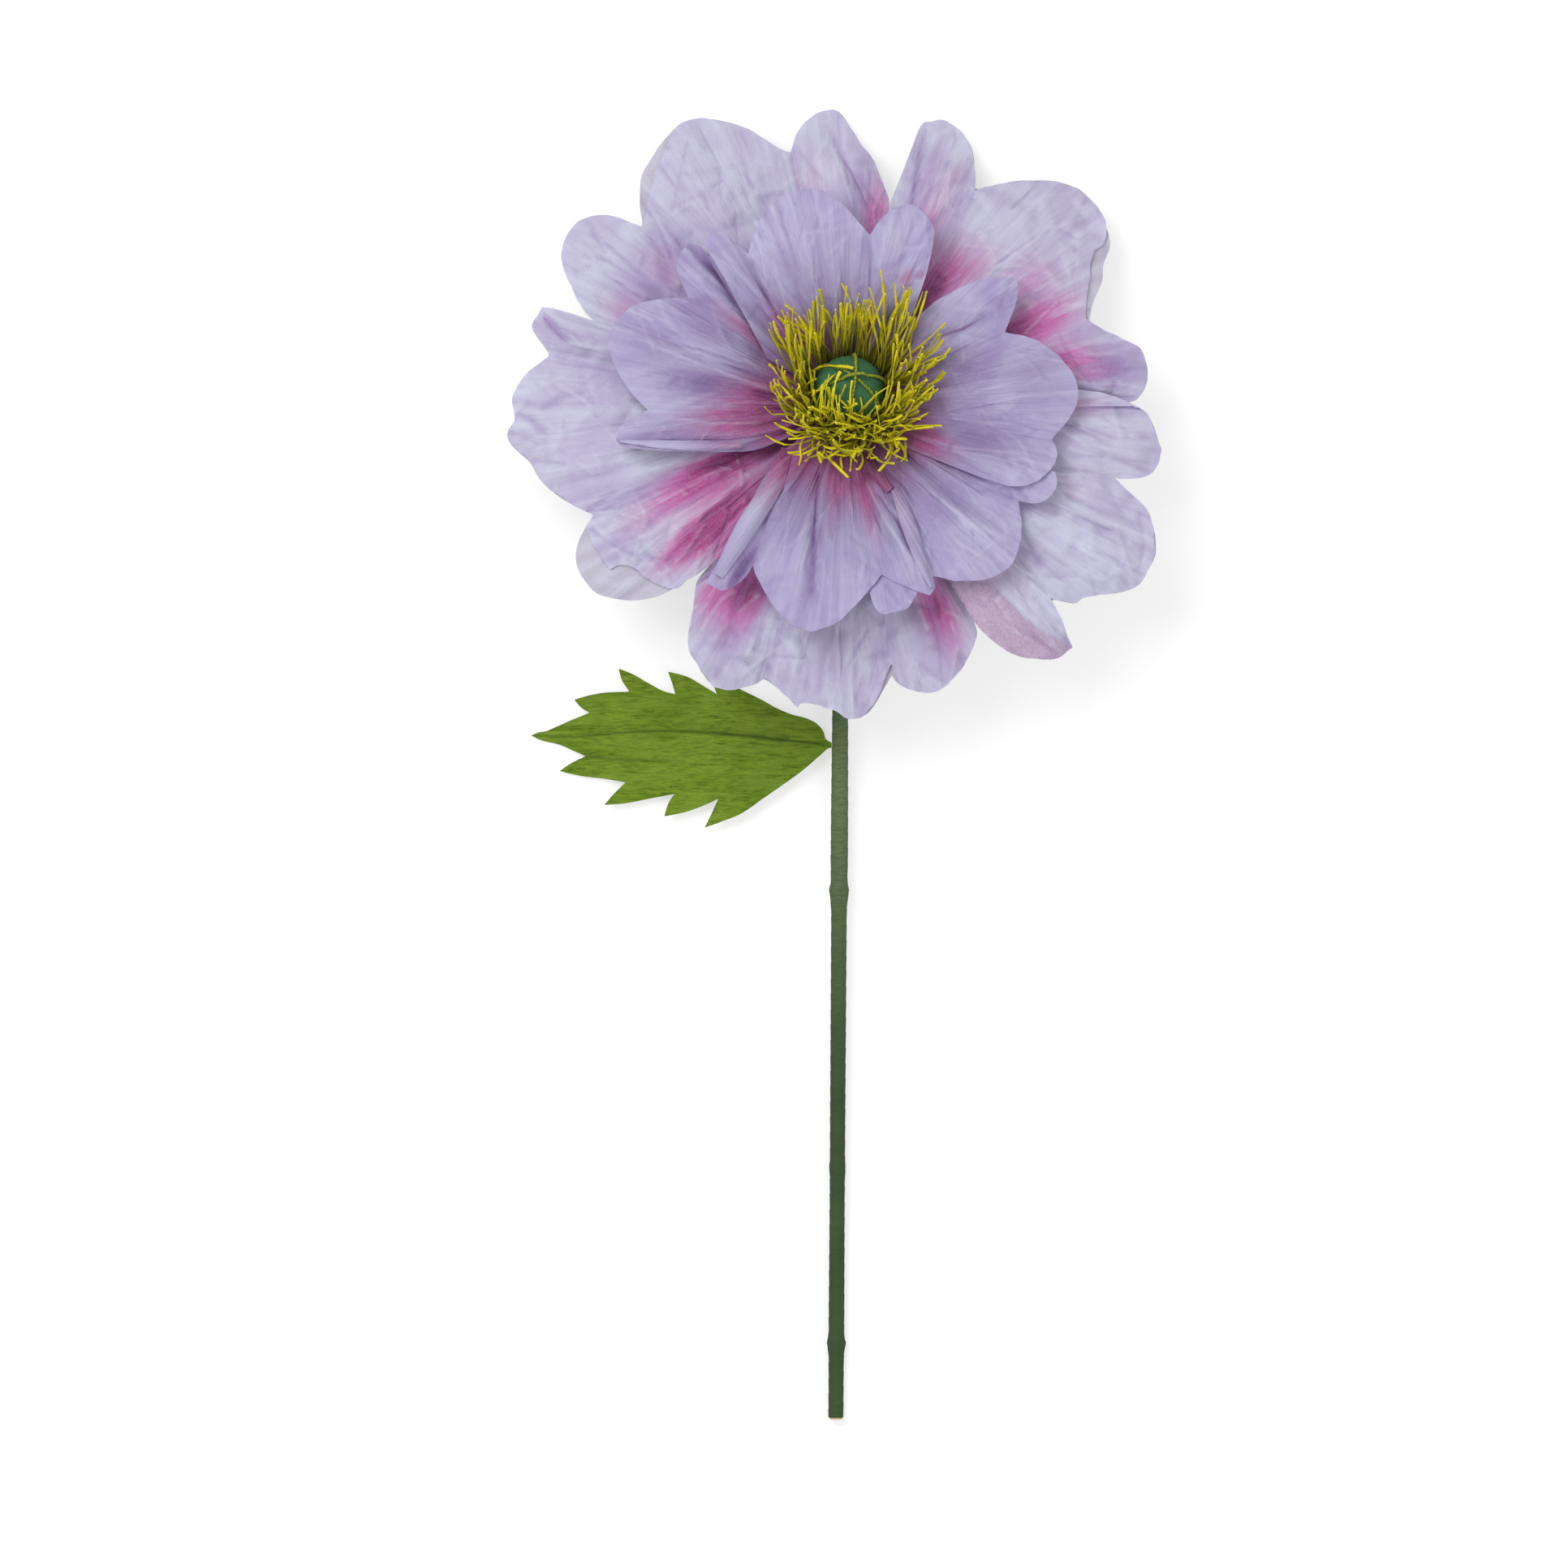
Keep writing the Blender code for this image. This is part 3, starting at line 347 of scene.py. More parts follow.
folds = maths(tree, "ADD", wrinkle, maths(tree, "MULTIPLY", coarse, 1.6))
finish_surface(tree, shader, green, 0.82, folds, 0.75, 0.0005, specular=0.25)


def cane_girth(distance):
    """Outer radius of the taped cane at a distance from its foot, both in mm."""
    radius = TAPE_OUTER_RADIUS / mm + np.interp(distance, *zip(*CANE_WAVES))
    for middle, swelling, below, above in CANE_JOINTS:
        reach = below if distance < middle else above
        radius += swelling * max(0.0, 1 - abs(distance - middle) / reach) ** 1.6
    return radius * mm


cane_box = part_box("stem_tape")
cane_foot = Vector((POD_MIDDLE.x, POD_MIDDLE.y, cane_box[0][2] + CANE_MIDDLE_HEIGHT)) + CANE_FOOT_FROM_POD
cane_top = Vector((POD_MIDDLE.x, POD_MIDDLE.y, cane_foot.z + CANE_TOP_RISE)) + CANE_TOP_FROM_POD
cane_way = (cane_top - cane_foot).normalized()
stations = np.linspace(TAPE_BARE_FOOT, CANE_LENGTH, STEM_STATIONS)
stem_line = [cane_foot + cane_way * float(s) for s in stations]
stem_girth = [cane_girth(s / mm) for s in stations]
tape_sizes = {"Pitch": TAPE_PITCH, "Step": TAPE_STEP, "Ring Spacing": TAPE_RINGS, "Sides": TAPE_SIDES,
              "Tape": stem_green}
stem_path = path_mesh("stem_tape_path", [stem_line], [stem_girth], [0.0])
stem_tape = made_by(wound_tape, stem_path, "stem_tape_wound", tape_sizes)
outward(stem_tape)
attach(stem_tape, "root")
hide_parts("stem_tape")

# The head's own axis, from the gather of the petals up to the pod
HEAD_LEAN = math.radians(15)
POD_ABOVE_GATHER = 39
GATHER_FROM_POD = Vector((-2, -10, 10 * math.tan(HEAD_LEAN) - POD_ABOVE_GATHER)) * mm
GATHER = POD_MIDDLE + GATHER_FROM_POD
HEAD_AXIS = (POD_MIDDLE - GATHER).normalized()
NECK_FOOT = -16.6 * mm
# The bend of the neck, in mm: its straight end, its corner below that end, and its lap over the cane
NECK_STRAIGHT = 5
NECK_CORNER = 14
NECK_LAP = 0.4
NECK_STEPS = 8
# Outer radii of the taped neck from the cane to the gathered petals, in mm
NECK_GIRTHS = [4.7, 4.6, 3.9, 3.5, 3.4, 3.4, 4.3, 6.8, 9.2]


def smooth_path(points, steps):
    """A smooth line through the points, with that many steps between each two."""
    ends = [2 * points[0] - points[1], *points, 2 * points[-1] - points[-2]]
    line = [points[0]]
    for a, b, c, d in zip(ends, ends[1:], ends[2:], ends[3:]):
        for step in range(1, steps + 1):
            t = step / steps
            line.append(0.5 * (2 * b + (c - a) * t + (2 * a - 5 * b + 4 * c - d) * t * t
                               + (3 * b - a - 3 * c + d) * t * t * t))
    return line


bend_end = GATHER + HEAD_AXIS * NECK_FOOT
corner = bend_end - HEAD_AXIS * NECK_CORNER * mm
straight_from = bend_end - HEAD_AXIS * NECK_STRAIGHT * mm
bend = smooth_path([cane_top, cane_top.lerp(corner, 0.6), straight_from, bend_end], NECK_STEPS)
bend[0] = cane_top + cane_way * NECK_LAP * mm
bend_girth = np.interp(np.linspace(0, 1, len(bend)), np.linspace(0, 1, len(NECK_GIRTHS)), NECK_GIRTHS) * mm
neck_path = path_mesh("neck_tape_path", [bend], [bend_girth.tolist()], [0.0])
neck_tape = made_by(wound_tape, neck_path, "neck_tape_wound", tape_sizes)
outward(neck_tape)
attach(neck_tape, "root")
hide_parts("neck_tape")


# Leaf
# One sheet of crepe paper cut with a pair of toothed edges, its grain running along it. It is
# creased once down the middle, and its stalk is twisted tight and taped in at the stem.
LEAF_STALK = (-10.6, -218)
LEAF_MIDRIB = [(-10.6, -218), (-29, -216), (-56, -213), (-86.5, -210), (-109, -209), (-136, -210),
               (-156, -212), (-170, -213), (-196, -212)]
LEAF_SIDE_CREASE = [(-162, -225), (-134, -227.5), (-107, -228.6)]
# Each edge from stalk to tip, one stroke from notch to tooth and one from tooth to notch
LEAF_UPPER_EDGE = [
    [(-10.6, -216.6), (-14.4, -214), (-15.5, -210), (-19.5, -205), (-26, -201.6), (-35.6, -199), (-45, -195),
     (-53, -190.5), (-61, -186.5), (-72, -181), (-84.5, -175)],
    [(-84.5, -175), (-83.4, -181), (-81.4, -186.6)],
    [(-81.4, -186.6), (-90.5, -181), (-100, -175.7), (-111.5, -172.7)],
    [(-111.5, -172.7), (-109, -180), (-107, -186.6)],
    [(-107, -186.6), (-115, -184.4), (-125, -179), (-133, -174.4), (-142, -170.8)],
    [(-142, -170.8), (-140, -178), (-135.4, -185)],
    [(-135.4, -185), (-149, -185.5), (-159, -187), (-169.5, -190)],
    [(-169.5, -190), (-165, -195), (-160, -198)],
    [(-160, -198), (-171, -202.5), (-185.6, -209), (-191, -210), (-196, -212)],
]
LEAF_LOWER_EDGE = [
    [(-10.6, -219.4), (-13.5, -220.5), (-18, -224.6), (-29, -234), (-40, -242), (-53, -251), (-66, -260),
     (-78, -265), (-89, -269)],
    [(-89, -269), (-85, -261), (-80.5, -251)],
    [(-80.5, -251), (-89, -255), (-100, -259), (-114, -262)],
    [(-114, -262), (-111, -253), (-107, -248)],
    [(-107, -248), (-123, -251), (-139, -254), (-151, -255)],
    [(-151, -255), (-144, -247), (-137.6, -241)],
    [(-137.6, -241), (-149, -239), (-165.5, -237), (-178.5, -234)],
    [(-178.5, -234), (-171, -229), (-162, -225)],
    [(-162, -225), (-171, -221), (-179, -217.5), (-190, -215), (-196, -212)],
]
LEAF_PAPER = 0.45 * mm
LEAF_EDGE_POINTS = 260
LEAF_HALF_ROWS = 22
LEAF_REST_HEIGHT = 1.3
LEAF_LOWEST = 0.4
LEAF_HALF_WIDTH = 45
LEAF_EDGE_LIFT = 3.0
LEAF_RIB_DEPTH = 1.6
LEAF_RIB_REACH = 9
LEAF_RIPPLES = 26
LEAF_RIPPLE_HEIGHT = 0.10


def along_strokes(strokes, count):
    """count points at even distances along smooth strokes that meet at sharp corners, in mm."""
    dense = []
    for stroke in strokes:
        path = smooth_path([Vector(p) for p in stroke], 12)
        dense += path[1:] if dense else path
    dense = np.array([tuple(p) for p in dense])
    lengths = np.concatenate([[0], np.cumsum(np.hypot(*np.diff(dense, axis=0).T))])
    goals = np.linspace(0, lengths[-1], count)
    return np.stack([np.interp(goals, lengths, dense[:, 0]), np.interp(goals, lengths, dense[:, 1])], axis=1)


def smooth_step(value, low, high):
    share = np.clip((value - low) / (high - low), 0, 1)
    return share * share * (3 - 2 * share)


def from_line(x, y, line):
    """Distance from a line of points, and how far along it as a share, for arrays of x and y."""
    line = np.asarray(line, float)
    pieces = np.hypot(*np.diff(line, axis=0).T)
    starts = np.concatenate([[0], np.cumsum(pieces)])
    best = np.full(x.shape, 1e9)
    share = np.zeros(x.shape)
    for (ax, ay), (bx, by), piece, start in zip(line, line[1:], pieces, starts):
        t = np.clip(((x - ax) * (bx - ax) + (y - ay) * (by - ay)) / piece ** 2, 0, 1)
        distance = np.hypot(x - ax - t * (bx - ax), y - ay - t * (by - ay))
        nearer = distance < best
        best = np.where(nearer, distance, best)
        share = np.where(nearer, (start + t * piece) / starts[-1], share)
    return best, share


def crease(x, y, line, height, width):
    """Height in mm of a fold along a line: sharp on the line, nothing past width, fading out at its ends."""
    distance, share = from_line(x, y, line)
    ends = smooth_step(share, 0.0, 0.12) * (1 - smooth_step(share, 0.82, 1.0))
    return height * np.clip(1 - distance / width, 0, 1) ** 1.5 * ends


def sheet_mesh(name, places, material, attributes, uv):
    """A sheet from a grid of places in metres, with its point attributes and UV map."""
    rows, columns, _ = places.shape
    corner = (np.arange(rows - 1)[:, None] * columns + np.arange(columns - 1)[None, :]).ravel()
    faces = np.stack([corner, corner + 1, corner + columns + 1, corner + columns], axis=1)
    mesh = bpy.data.meshes.new(name)
    mesh.vertices.add(rows * columns)
    mesh.vertices.foreach_set("co", places.reshape(-1).astype(np.float32))
    mesh.loops.add(faces.size)
    mesh.loops.foreach_set("vertex_index", faces.reshape(-1).astype(np.int32))
    mesh.polygons.add(len(faces))
    mesh.polygons.foreach_set("loop_start", np.arange(0, faces.size, 4, dtype=np.int32))
    mesh.update(calc_edges=True)
    mesh.shade_smooth()
    for attribute, values in attributes.items():
        layer = mesh.attributes.new(attribute, "FLOAT", "POINT")
        layer.data.foreach_set("value", np.asarray(values, np.float32).ravel())
    layer = mesh.uv_layers.new(name="paper")
    layer.uv.foreach_set("vector", uv.reshape(-1, 2)[faces.reshape(-1)].astype(np.float32).ravel())
    mesh.materials.append(material)
    mesh.validate()
    thing = bpy.data.objects.new(name, mesh)
    bpy.context.scene.collection.objects.link(thing)
    return thing


def thicken(thing, thickness):
    """Gives a sheet its thickness, and leaves its cut edge sharp."""
    shell = thing.modifiers.new("paper", "SOLIDIFY")
    shell.thickness = thickness
    shell.offset = 0.0
    solid = bpy.data.meshes.new_from_object(thing.evaluated_get(bpy.context.evaluated_depsgraph_get()))
    thing.modifiers.remove(shell)
    thing.data = solid
    solid.set_sharp_from_angle(angle=math.radians(50))


def let_light_through(tree, shader, share, colour, relief):
    """Lets a share of the light through a sheet, in the sheet's own colour."""
    backlit = node(tree, "ShaderNodeBsdfTranslucent", {"Color": colour, "Normal": relief})
    mix = node(tree, "ShaderNodeMixShader", {0: share, 1: shader.outputs[0], 2: backlit.outputs[0]})
    tree.links.new(mix.outputs[0], tree.nodes["Material Output"].inputs["Surface"])


leaf_green, tree, shader = new_material("leaf_crepe")
place = node(tree, "ShaderNodeTexCoord").outputs["Object"]
lengthwise = node(tree, "ShaderNodeMapping", {"Vector": place, "Rotation": (0, 0, 0.03),
                                              "Scale": (0.16, 1, 0.4)}).outputs[0]
grain = noise(tree, lengthwise, 760.0, 5.0, roughness=0.72, distortion=0.6)
bands = noise(tree, lengthwise, 210.0, 3.0)
cloudy = noise(tree, place, 26.0, 4.0)
fold = carried(tree, "fold")
green = blended(tree, spread(tree, cloudy, 0.35, 0.68), painted(106, 134, 30), painted(124, 151, 44))
green = blended(tree, spread(tree, grain, 0.36, 0.56, 0.9, 0.0), green, painted(66, 94, 12))
green = blended(tree, spread(tree, bands, 0.4, 0.62, 0.0, 0.35), green, painted(132, 160, 58))
# Painted shade darkens the leaf along its creases and beside its rib
green = blended(tree, fold, green, painted(50, 74, 18))
relief = maths(tree, "ADD", grain, maths(tree, "MULTIPLY", bands, 1.5))
leaf_relief = finish_surface(tree, shader, green, 0.85, relief, 0.8, 0.0006, specular=0.2)
let_light_through(tree, shader, 0.15, green, leaf_relief)


def add_leaf():
    rib_x, rib_y = np.array(LEAF_MIDRIB, float).T
    halves = []
    for strokes in (LEAF_UPPER_EDGE, LEAF_LOWER_EDGE):
        edge = along_strokes(strokes, LEAF_EDGE_POINTS)
        # Lines from the rib to the edge run forward as the teeth do, so that the sheet never covers a notch
        stops, roots = [0], [edge[0, 0]]
        for back in strokes[1::2]:
            (near_x, near_y), (notch_x, notch_y) = back[-2:]
            inwards = abs(notch_y - np.interp(-notch_x, -rib_x, rib_y))
            stops.append(int(np.argmin(np.hypot(*(edge - back[-1]).T))))
            roots.append(notch_x + 2 + inwards * (notch_x - near_x) / abs(notch_y - near_y))
        root = np.interp(np.arange(LEAF_EDGE_POINTS), [*stops, LEAF_EDGE_POINTS - 1], [*roots, edge[-1, 0]])
        rib = np.stack([root, np.interp(-root, -rib_x, rib_y)], axis=1)
        share = (np.arange(LEAF_HALF_ROWS + 1) / LEAF_HALF_ROWS)[:, None, None]
        halves.append(rib[None] * (1 - share) + edge[None] * share)
    upper, lower = halves
    grid = np.concatenate([upper[:0:-1], 0.5 * (upper[:1] + lower[:1]), lower[1:]])
    x, y = grid[..., 0], grid[..., 1]
    middle_y = np.interp(-x, -rib_x, rib_y)
    stalk_from_foot = POD_MIDDLE.y + LEAF_STALK[1] * mm - cane_foot.y
    stalk_z = (cane_foot.z + (cane_way.z / cane_way.y) * stalk_from_foot) / mm
    along = (LEAF_STALK[0] - x) / (LEAF_STALK[0] - LEAF_MIDRIB[-1][0])
    z = LEAF_REST_HEIGHT + (stalk_z - LEAF_REST_HEIGHT) * (1 - np.clip(along, 0, 1)) ** 2.2
    z += LEAF_EDGE_LIFT * ((y - middle_y) / LEAF_HALF_WIDTH) ** 2
    z += (1 - np.cos(4.5 * math.pi * along)) * np.minimum(1, 2 * along)
    off_rib = np.abs(y - middle_y)
    # fold is painted shade: dark along the crease down the rib, along the side crease and beside the rib
    fold = np.exp(-(off_rib / 0.8) ** 2) * smooth_step(along, 0.0, 0.05) * (1 - 0.5 * along)
    z += LEAF_RIB_DEPTH * np.clip(off_rib / LEAF_RIB_REACH, 0, 1) * smooth_step(along, 0.02, 0.2) - 0.6
    side, _ = from_line(x, y, LEAF_SIDE_CREASE)
    fold = np.maximum(fold, 0.6 * np.exp(-(side / 0.9) ** 2))
    z += crease(x, y, LEAF_SIDE_CREASE, -0.9, 6)
    rng = np.random.default_rng(11)
    for _ in range(LEAF_RIPPLES):
        wave, slant, start = rng.uniform(6, 22), rng.uniform(-0.05, 0.05), rng.uniform(0, 7)
        z += LEAF_RIPPLE_HEIGHT * np.sin((y + slant * x) * 2 * math.pi / wave + start)
    # Painted shade: a soft shadow darkens the sheet just above the middle of its rib
    shadow_above_rib = (x > -92) & (x < -36) & (y > middle_y) & (y < middle_y + 8)
    fold = np.maximum(fold, 0.35 * shadow_above_rib * np.clip(1 - off_rib / 8, 0, 1))
    z = np.maximum(z, LEAF_LOWEST)
    places = np.stack([POD_MIDDLE.x + x * mm, POD_MIDDLE.y + y * mm, z * mm], axis=-1)
    leaf = sheet_mesh("leaf_sheet", places, leaf_green, {"fold": fold}, np.stack([x, y], axis=-1) * mm)
    thicken(leaf, LEAF_PAPER)
    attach(leaf, "root")
    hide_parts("leaf")


add_leaf()


# Seed pod
# A foam ball drawn tightly into dark green crepe paper, so that fine wrinkles run from its top to
# the wire below. It is pushed onto the wire in the middle of the flower.
POD_RADIUS = 21.4 * mm
POD_LEAN = Matrix.Rotation(math.radians(-25), 3, "X")
POD_SEGMENTS = 200
POD_RINGS = 100
POD_WRINKLES = 14
POD_WRINKLE_HEIGHT = 0.05
POD_DIMPLE = 1.2


def pod_place(x, y, height):
    """Place of a point given round the pod's middle, with the pod's own lean."""
    return POD_MIDDLE + POD_LEAN @ Vector((x, y, height))


pod_green, tree, shader = new_material("pod_crepe")
place = node(tree, "ShaderNodeTexCoord").outputs["Object"]
around = node(tree, "ShaderNodeUVMap", uv_map="paper").outputs[0]
strips = node(tree, "ShaderNodeMapping", {"Vector": around, "Scale": (90, 5, 1)}).outputs[0]
wrinkle = noise(tree, strips, 1.0, 5.0, distortion=0.5)
cloudy = noise(tree, place, 60.0, 4.0)
green = blended(tree, spread(tree, cloudy, 0.35, 0.7), painted(52, 98, 66), painted(66, 112, 76))
green = blended(tree, spread(tree, wrinkle, 0.38, 0.6, 0.5, 0.0), green, painted(36, 74, 50))
finish_surface(tree, shader, green, 0.75, wrinkle, 0.55, 0.0005, specular=0.3)


def add_pod():
    rng = np.random.default_rng(5)
    bearings = np.linspace(0, 2 * math.pi, POD_SEGMENTS + 1)
    around, down = np.meshgrid(bearings, np.linspace(0, math.pi, POD_RINGS + 1))
    radius = np.full(around.shape, POD_RADIUS / mm)
    for _ in range(POD_WRINKLES):
        folds = rng.integers(9, 46)
        wrinkle = np.sin(folds * around + rng.uniform(0, 7) + 0.8 * np.sin(down * 3))
        radius += POD_WRINKLE_HEIGHT * wrinkle * np.sin(down) ** 0.5
    radius -= POD_DIMPLE * np.exp(-(down / 0.13) ** 2)
    x = np.sin(down) * np.cos(around) * radius
    y = np.sin(down) * np.sin(around) * radius
    z = np.cos(down) * radius
    lean = np.array(POD_LEAN)
    places = np.stack([x, y, z], axis=-1)[:, ::-1] @ lean.T * mm + np.array(POD_MIDDLE)
    uv = np.stack([around / (2 * math.pi), down / math.pi], axis=-1)
    pod = sheet_mesh("seed_pod_covered", places, pod_green, {}, uv)
    outward(pod)
    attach(pod, "root")
    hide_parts("seed_pod")


add_pod()


# Pod cords
# Three lengths of yellow-green crepe, twisted into cords and tied over the pod so that they cross
# near its top. Each passes over the one before it, and their ends are glued underneath.
CORD_GIRTH = 1.15 * mm
CORD_TURNS = 190.0
CORD_POINTS = 90
CORD_GAP = 0.1
CORD_OVER_CORD = 2.0
# Each cord: bearing of its run, and the bulge to one side of the pole, in degrees and mm
CORDS = [(-36, 0.4), (84, -0.6), (12, 0.5)]
CORD_END = math.radians(94)
CORD_HUMP = math.radians(22)
CORD_LEAN = Matrix.Rotation(math.radians(3.5), 3, "X") @ Matrix.Rotation(math.radians(8), 3, "Y")

twisted_crepe, given = new_group("twisted_crepe", [("Flatness", "Float"), ("Sides", "Int"),
                                                   ("Crepe", "Material")])
line = node(twisted_crepe, "GeometryNodeMeshToCurve", {0: given["Geometry"]}).outputs[0]
length = node(twisted_crepe, "GeometryNodeSplineParameter").outputs["Length"]
turns = maths(twisted_crepe, "MULTIPLY", length, named(twisted_crepe, "twist"))
turn = maths(twisted_crepe, "MULTIPLY", turns, 2 * math.pi)
line = node(twisted_crepe, "GeometryNodeSetCurveTilt", {0: line, "Tilt": turn}).outputs[0]
line = stored(twisted_crepe, line, "along",
              node(twisted_crepe, "GeometryNodeSplineParameter").outputs["Factor"])
ring = node(twisted_crepe, "GeometryNodeCurvePrimitiveCircle",
            {"Resolution": given["Sides"], "Radius": 1.0}).outputs[0]
sides = {"X": 1.0, "Y": given["Flatness"], "Z": 1.0}
squeeze = node(twisted_crepe, "ShaderNodeCombineXYZ", sides).outputs[0]
round_place = node(twisted_crepe, "GeometryNodeInputPosition").outputs[0]
flat_place = node(twisted_crepe, "ShaderNodeVectorMath", {0: round_place, 1: squeeze},
                  operation="MULTIPLY").outputs[0]
ring = node(twisted_crepe, "GeometryNodeSetPosition", {"Geometry": ring, "Position": flat_place}).outputs[0]
sweep = {"Curve": line, "Profile Curve": ring, "Scale": named(twisted_crepe, "girth"), "Fill Caps": True}
strip = node(twisted_crepe, "GeometryNodeCurveToMesh", sweep).outputs[0]
finish_group(twisted_crepe, strip, given["Crepe"])

stamen_yellow, tree, shader = new_material("stamen_crepe")
place = node(tree, "ShaderNodeTexCoord").outputs["Object"]
number = carried(tree, "strand")
own = node(tree, "ShaderNodeTexWhiteNoise", {"W": number}, noise_dimensions="1D").outputs[0]
tip = carried(tree, "along")
flecks = noise(tree, place, 700.0, 3.0)
yellow = blended(tree, own, painted(200, 190, 10), painted(232, 218, 30))
yellow = blended(tree, spread(tree, own, 0.0, 0.3, 0.6, 0.0), yellow, painted(140, 150, 26))
# Painted shade: each strand is dark towards its base, deep in the fringe's bowl
yellow = blended(tree, spread(tree, tip, 0.14, 0.78, 0.97, 0.0), yellow, painted(66, 68, 12))
yellow = blended(tree, spread(tree, tip, 0.95, 1.0, 0.0, 0.2), yellow, painted(214, 206, 90))
yellow = blended(tree, spread(tree, flecks, 0.38, 0.6, 0.3, 0.0), yellow, painted(130, 126, 10))
finish_surface(tree, shader, yellow, 0.7, flecks, 0.5, 0.0003, specular=0.25)

cord_green, tree, shader = new_material("cord_crepe")
place = node(tree, "ShaderNodeTexCoord").outputs["Object"]
flecks = noise(tree, place, 800.0, 3.0)
olive = blended(tree, spread(tree, flecks, 0.38, 0.62), painted(96, 110, 16), painted(152, 158, 34))
finish_surface(tree, shader, olive, 0.75, flecks, 0.5, 0.0003)

for number, (bearing, bulge) in enumerate(CORDS):
    points = []
    for angle in np.linspace(-CORD_END, CORD_END, CORD_POINTS):
        hump = 1 - float(smooth_step(abs(angle), 0.4 * CORD_HUMP, CORD_HUMP))
        radius = POD_RADIUS + CORD_GIRTH + (CORD_GAP + number * CORD_OVER_CORD * hump) * mm
        side = bulge * mm * math.cos(angle) ** 2
        across, bearing_angle = radius * math.sin(angle), math.radians(bearing)
        upright = Vector((across * math.cos(bearing_angle) - side * math.sin(bearing_angle),
                          across * math.sin(bearing_angle) + side * math.cos(bearing_angle),
                          radius * math.cos(angle)))
        points.append(pod_place(*(CORD_LEAN @ upright)))
    path = path_mesh("cord_path", [points], [[CORD_GIRTH] * CORD_POINTS], [CORD_TURNS])
    cord = made_by(twisted_crepe, path, f"pod_cord_twisted_{number + 1}",
                   {"Flatness": 0.62, "Sides": 10, "Crepe": cord_green})
    outward(cord)
    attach(cord, "root")
    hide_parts(f"pod_cord_{number + 1}")


# Stamen fringes
# Two strips of yellow-green crepe, each cut into a fringe, every strand rolled between the
# fingers, and wound round the lower half of the pod. The strands open into a bowl and stand as
# they were left, a few of them bent over the pod.
BAND_THICKNESS = 1.0
# Each fringe: radius and height of its band below and above, number of strands, radii and heights of
# their tips, and random seed, in mm round the pod
FRINGES = {
    "stamen_fringe_inner": ([(18.9, -11.6), (20.8, -7.6)], 155, (30, 45), (20, 43), 3),
    "stamen_fringe_outer": ([(20.3, -12.4), (22.2, -8.4)], 225, (40, 58), (8, 37), 8),
}
STRAND_GIRTH = 1.05 * mm
STRAND_POINTS = 6
TUFTS = 38
BAND_SIDES = 72


def bent_over_pod(rng, base):
    """Points of a strand that lies over the pod in an arc, in mm round its middle."""
    goal = Vector((rng.uniform(-13, 7), rng.uniform(-11, 3), 19)).normalized()
    clearance, last = rng.uniform(1, 4.5), rng.uniform(0.55, 0.98)
    points = []
    for step in range(STRAND_POINTS):
        share = step / (STRAND_POINTS - 1)
        way = base.normalized().lerp(goal, share * last).normalized()
        kink = Vector(rng.normal(0, 0.5, 3)) * share
        radius = base.length * (1 - share) + share * 26 + clearance * math.sin(math.pi * share ** 0.7)
        points.append(way * radius + kink)
    return points


def fringe_strand(rng, tufts, base, tip_radii, tip_heights):
    """Points of one strand round the pod, in mm, from its band outwards and up, or bent over the pod."""
    if rng.uniform() < 0.76:
        bearing = rng.uniform(0, 2 * math.pi)
    else:
        bearing = rng.normal(1.45 * math.pi, 0.75) % (2 * math.pi)
    radius, height = base
    foot = Vector((radius * math.cos(bearing), radius * math.sin(bearing), height))
    stem_side = max(0.0, -math.sin(bearing))
    head_side = max(0.0, math.sin(bearing))
    side = abs(math.cos(bearing))
    left_of_stem = max(0.0, -math.sin(bearing + 0.7))
    if rng.uniform() < 0.2 * left_of_stem ** 1.5:
        return bent_over_pod(rng, foot)
    # Strands of one tuft lean the same way, as a hand brushing over the fringe leaves them
    turn, reach, rise = tufts[int(bearing / (2 * math.pi) * len(tufts))]
    way = bearing + 0.2 * turn + rng.normal(0, 0.15 + 0.42 * stem_side) - 0.1 * math.cos(bearing)
    tip_radius = rng.uniform(*tip_radii) + 2.5 * reach + 2 * head_side - rng.uniform(0, 14) * stem_side
    tip_radius += 2.5 * math.cos(bearing) if math.cos(bearing) > 0 else 5 * math.cos(bearing)
    tip_height = rng.uniform(*tip_heights) + 4 * rise + 3 * head_side - rng.uniform(2, 28) * stem_side
    sweep = side * rng.uniform(2, 15) - 3 * stem_side + 4 * head_side
    if stem_side > 0.5 and rng.uniform() < 0.14:
        tip_radius, tip_height, sweep = rng.uniform(46, 58), rng.uniform(0, 8), -4
    tip = Vector((tip_radius * math.cos(way), tip_radius * math.sin(way) + sweep, tip_height))
    elbow_radius = radius + (0.62 + 0.25 * side) * (tip_radius - radius)
    elbow_way = bearing + 0.4 * (way - bearing)
    elbow = Vector((elbow_radius * math.cos(elbow_way), elbow_radius * math.sin(elbow_way) - 0.1 * sweep,
                    height + 0.42 * (tip_height - height)))
    points = []
    for step in range(STRAND_POINTS):
        share = step / (STRAND_POINTS - 1)
        point = foot * (1 - share) ** 2 + elbow * (2 * share * (1 - share)) + tip * share ** 2
        kink = Vector(rng.normal(0, 0.6, 3)) * share * (1 + 1.6 * stem_side)
        points.append(point + (kink if step < STRAND_POINTS - 1 else 1.6 * kink))
    return points


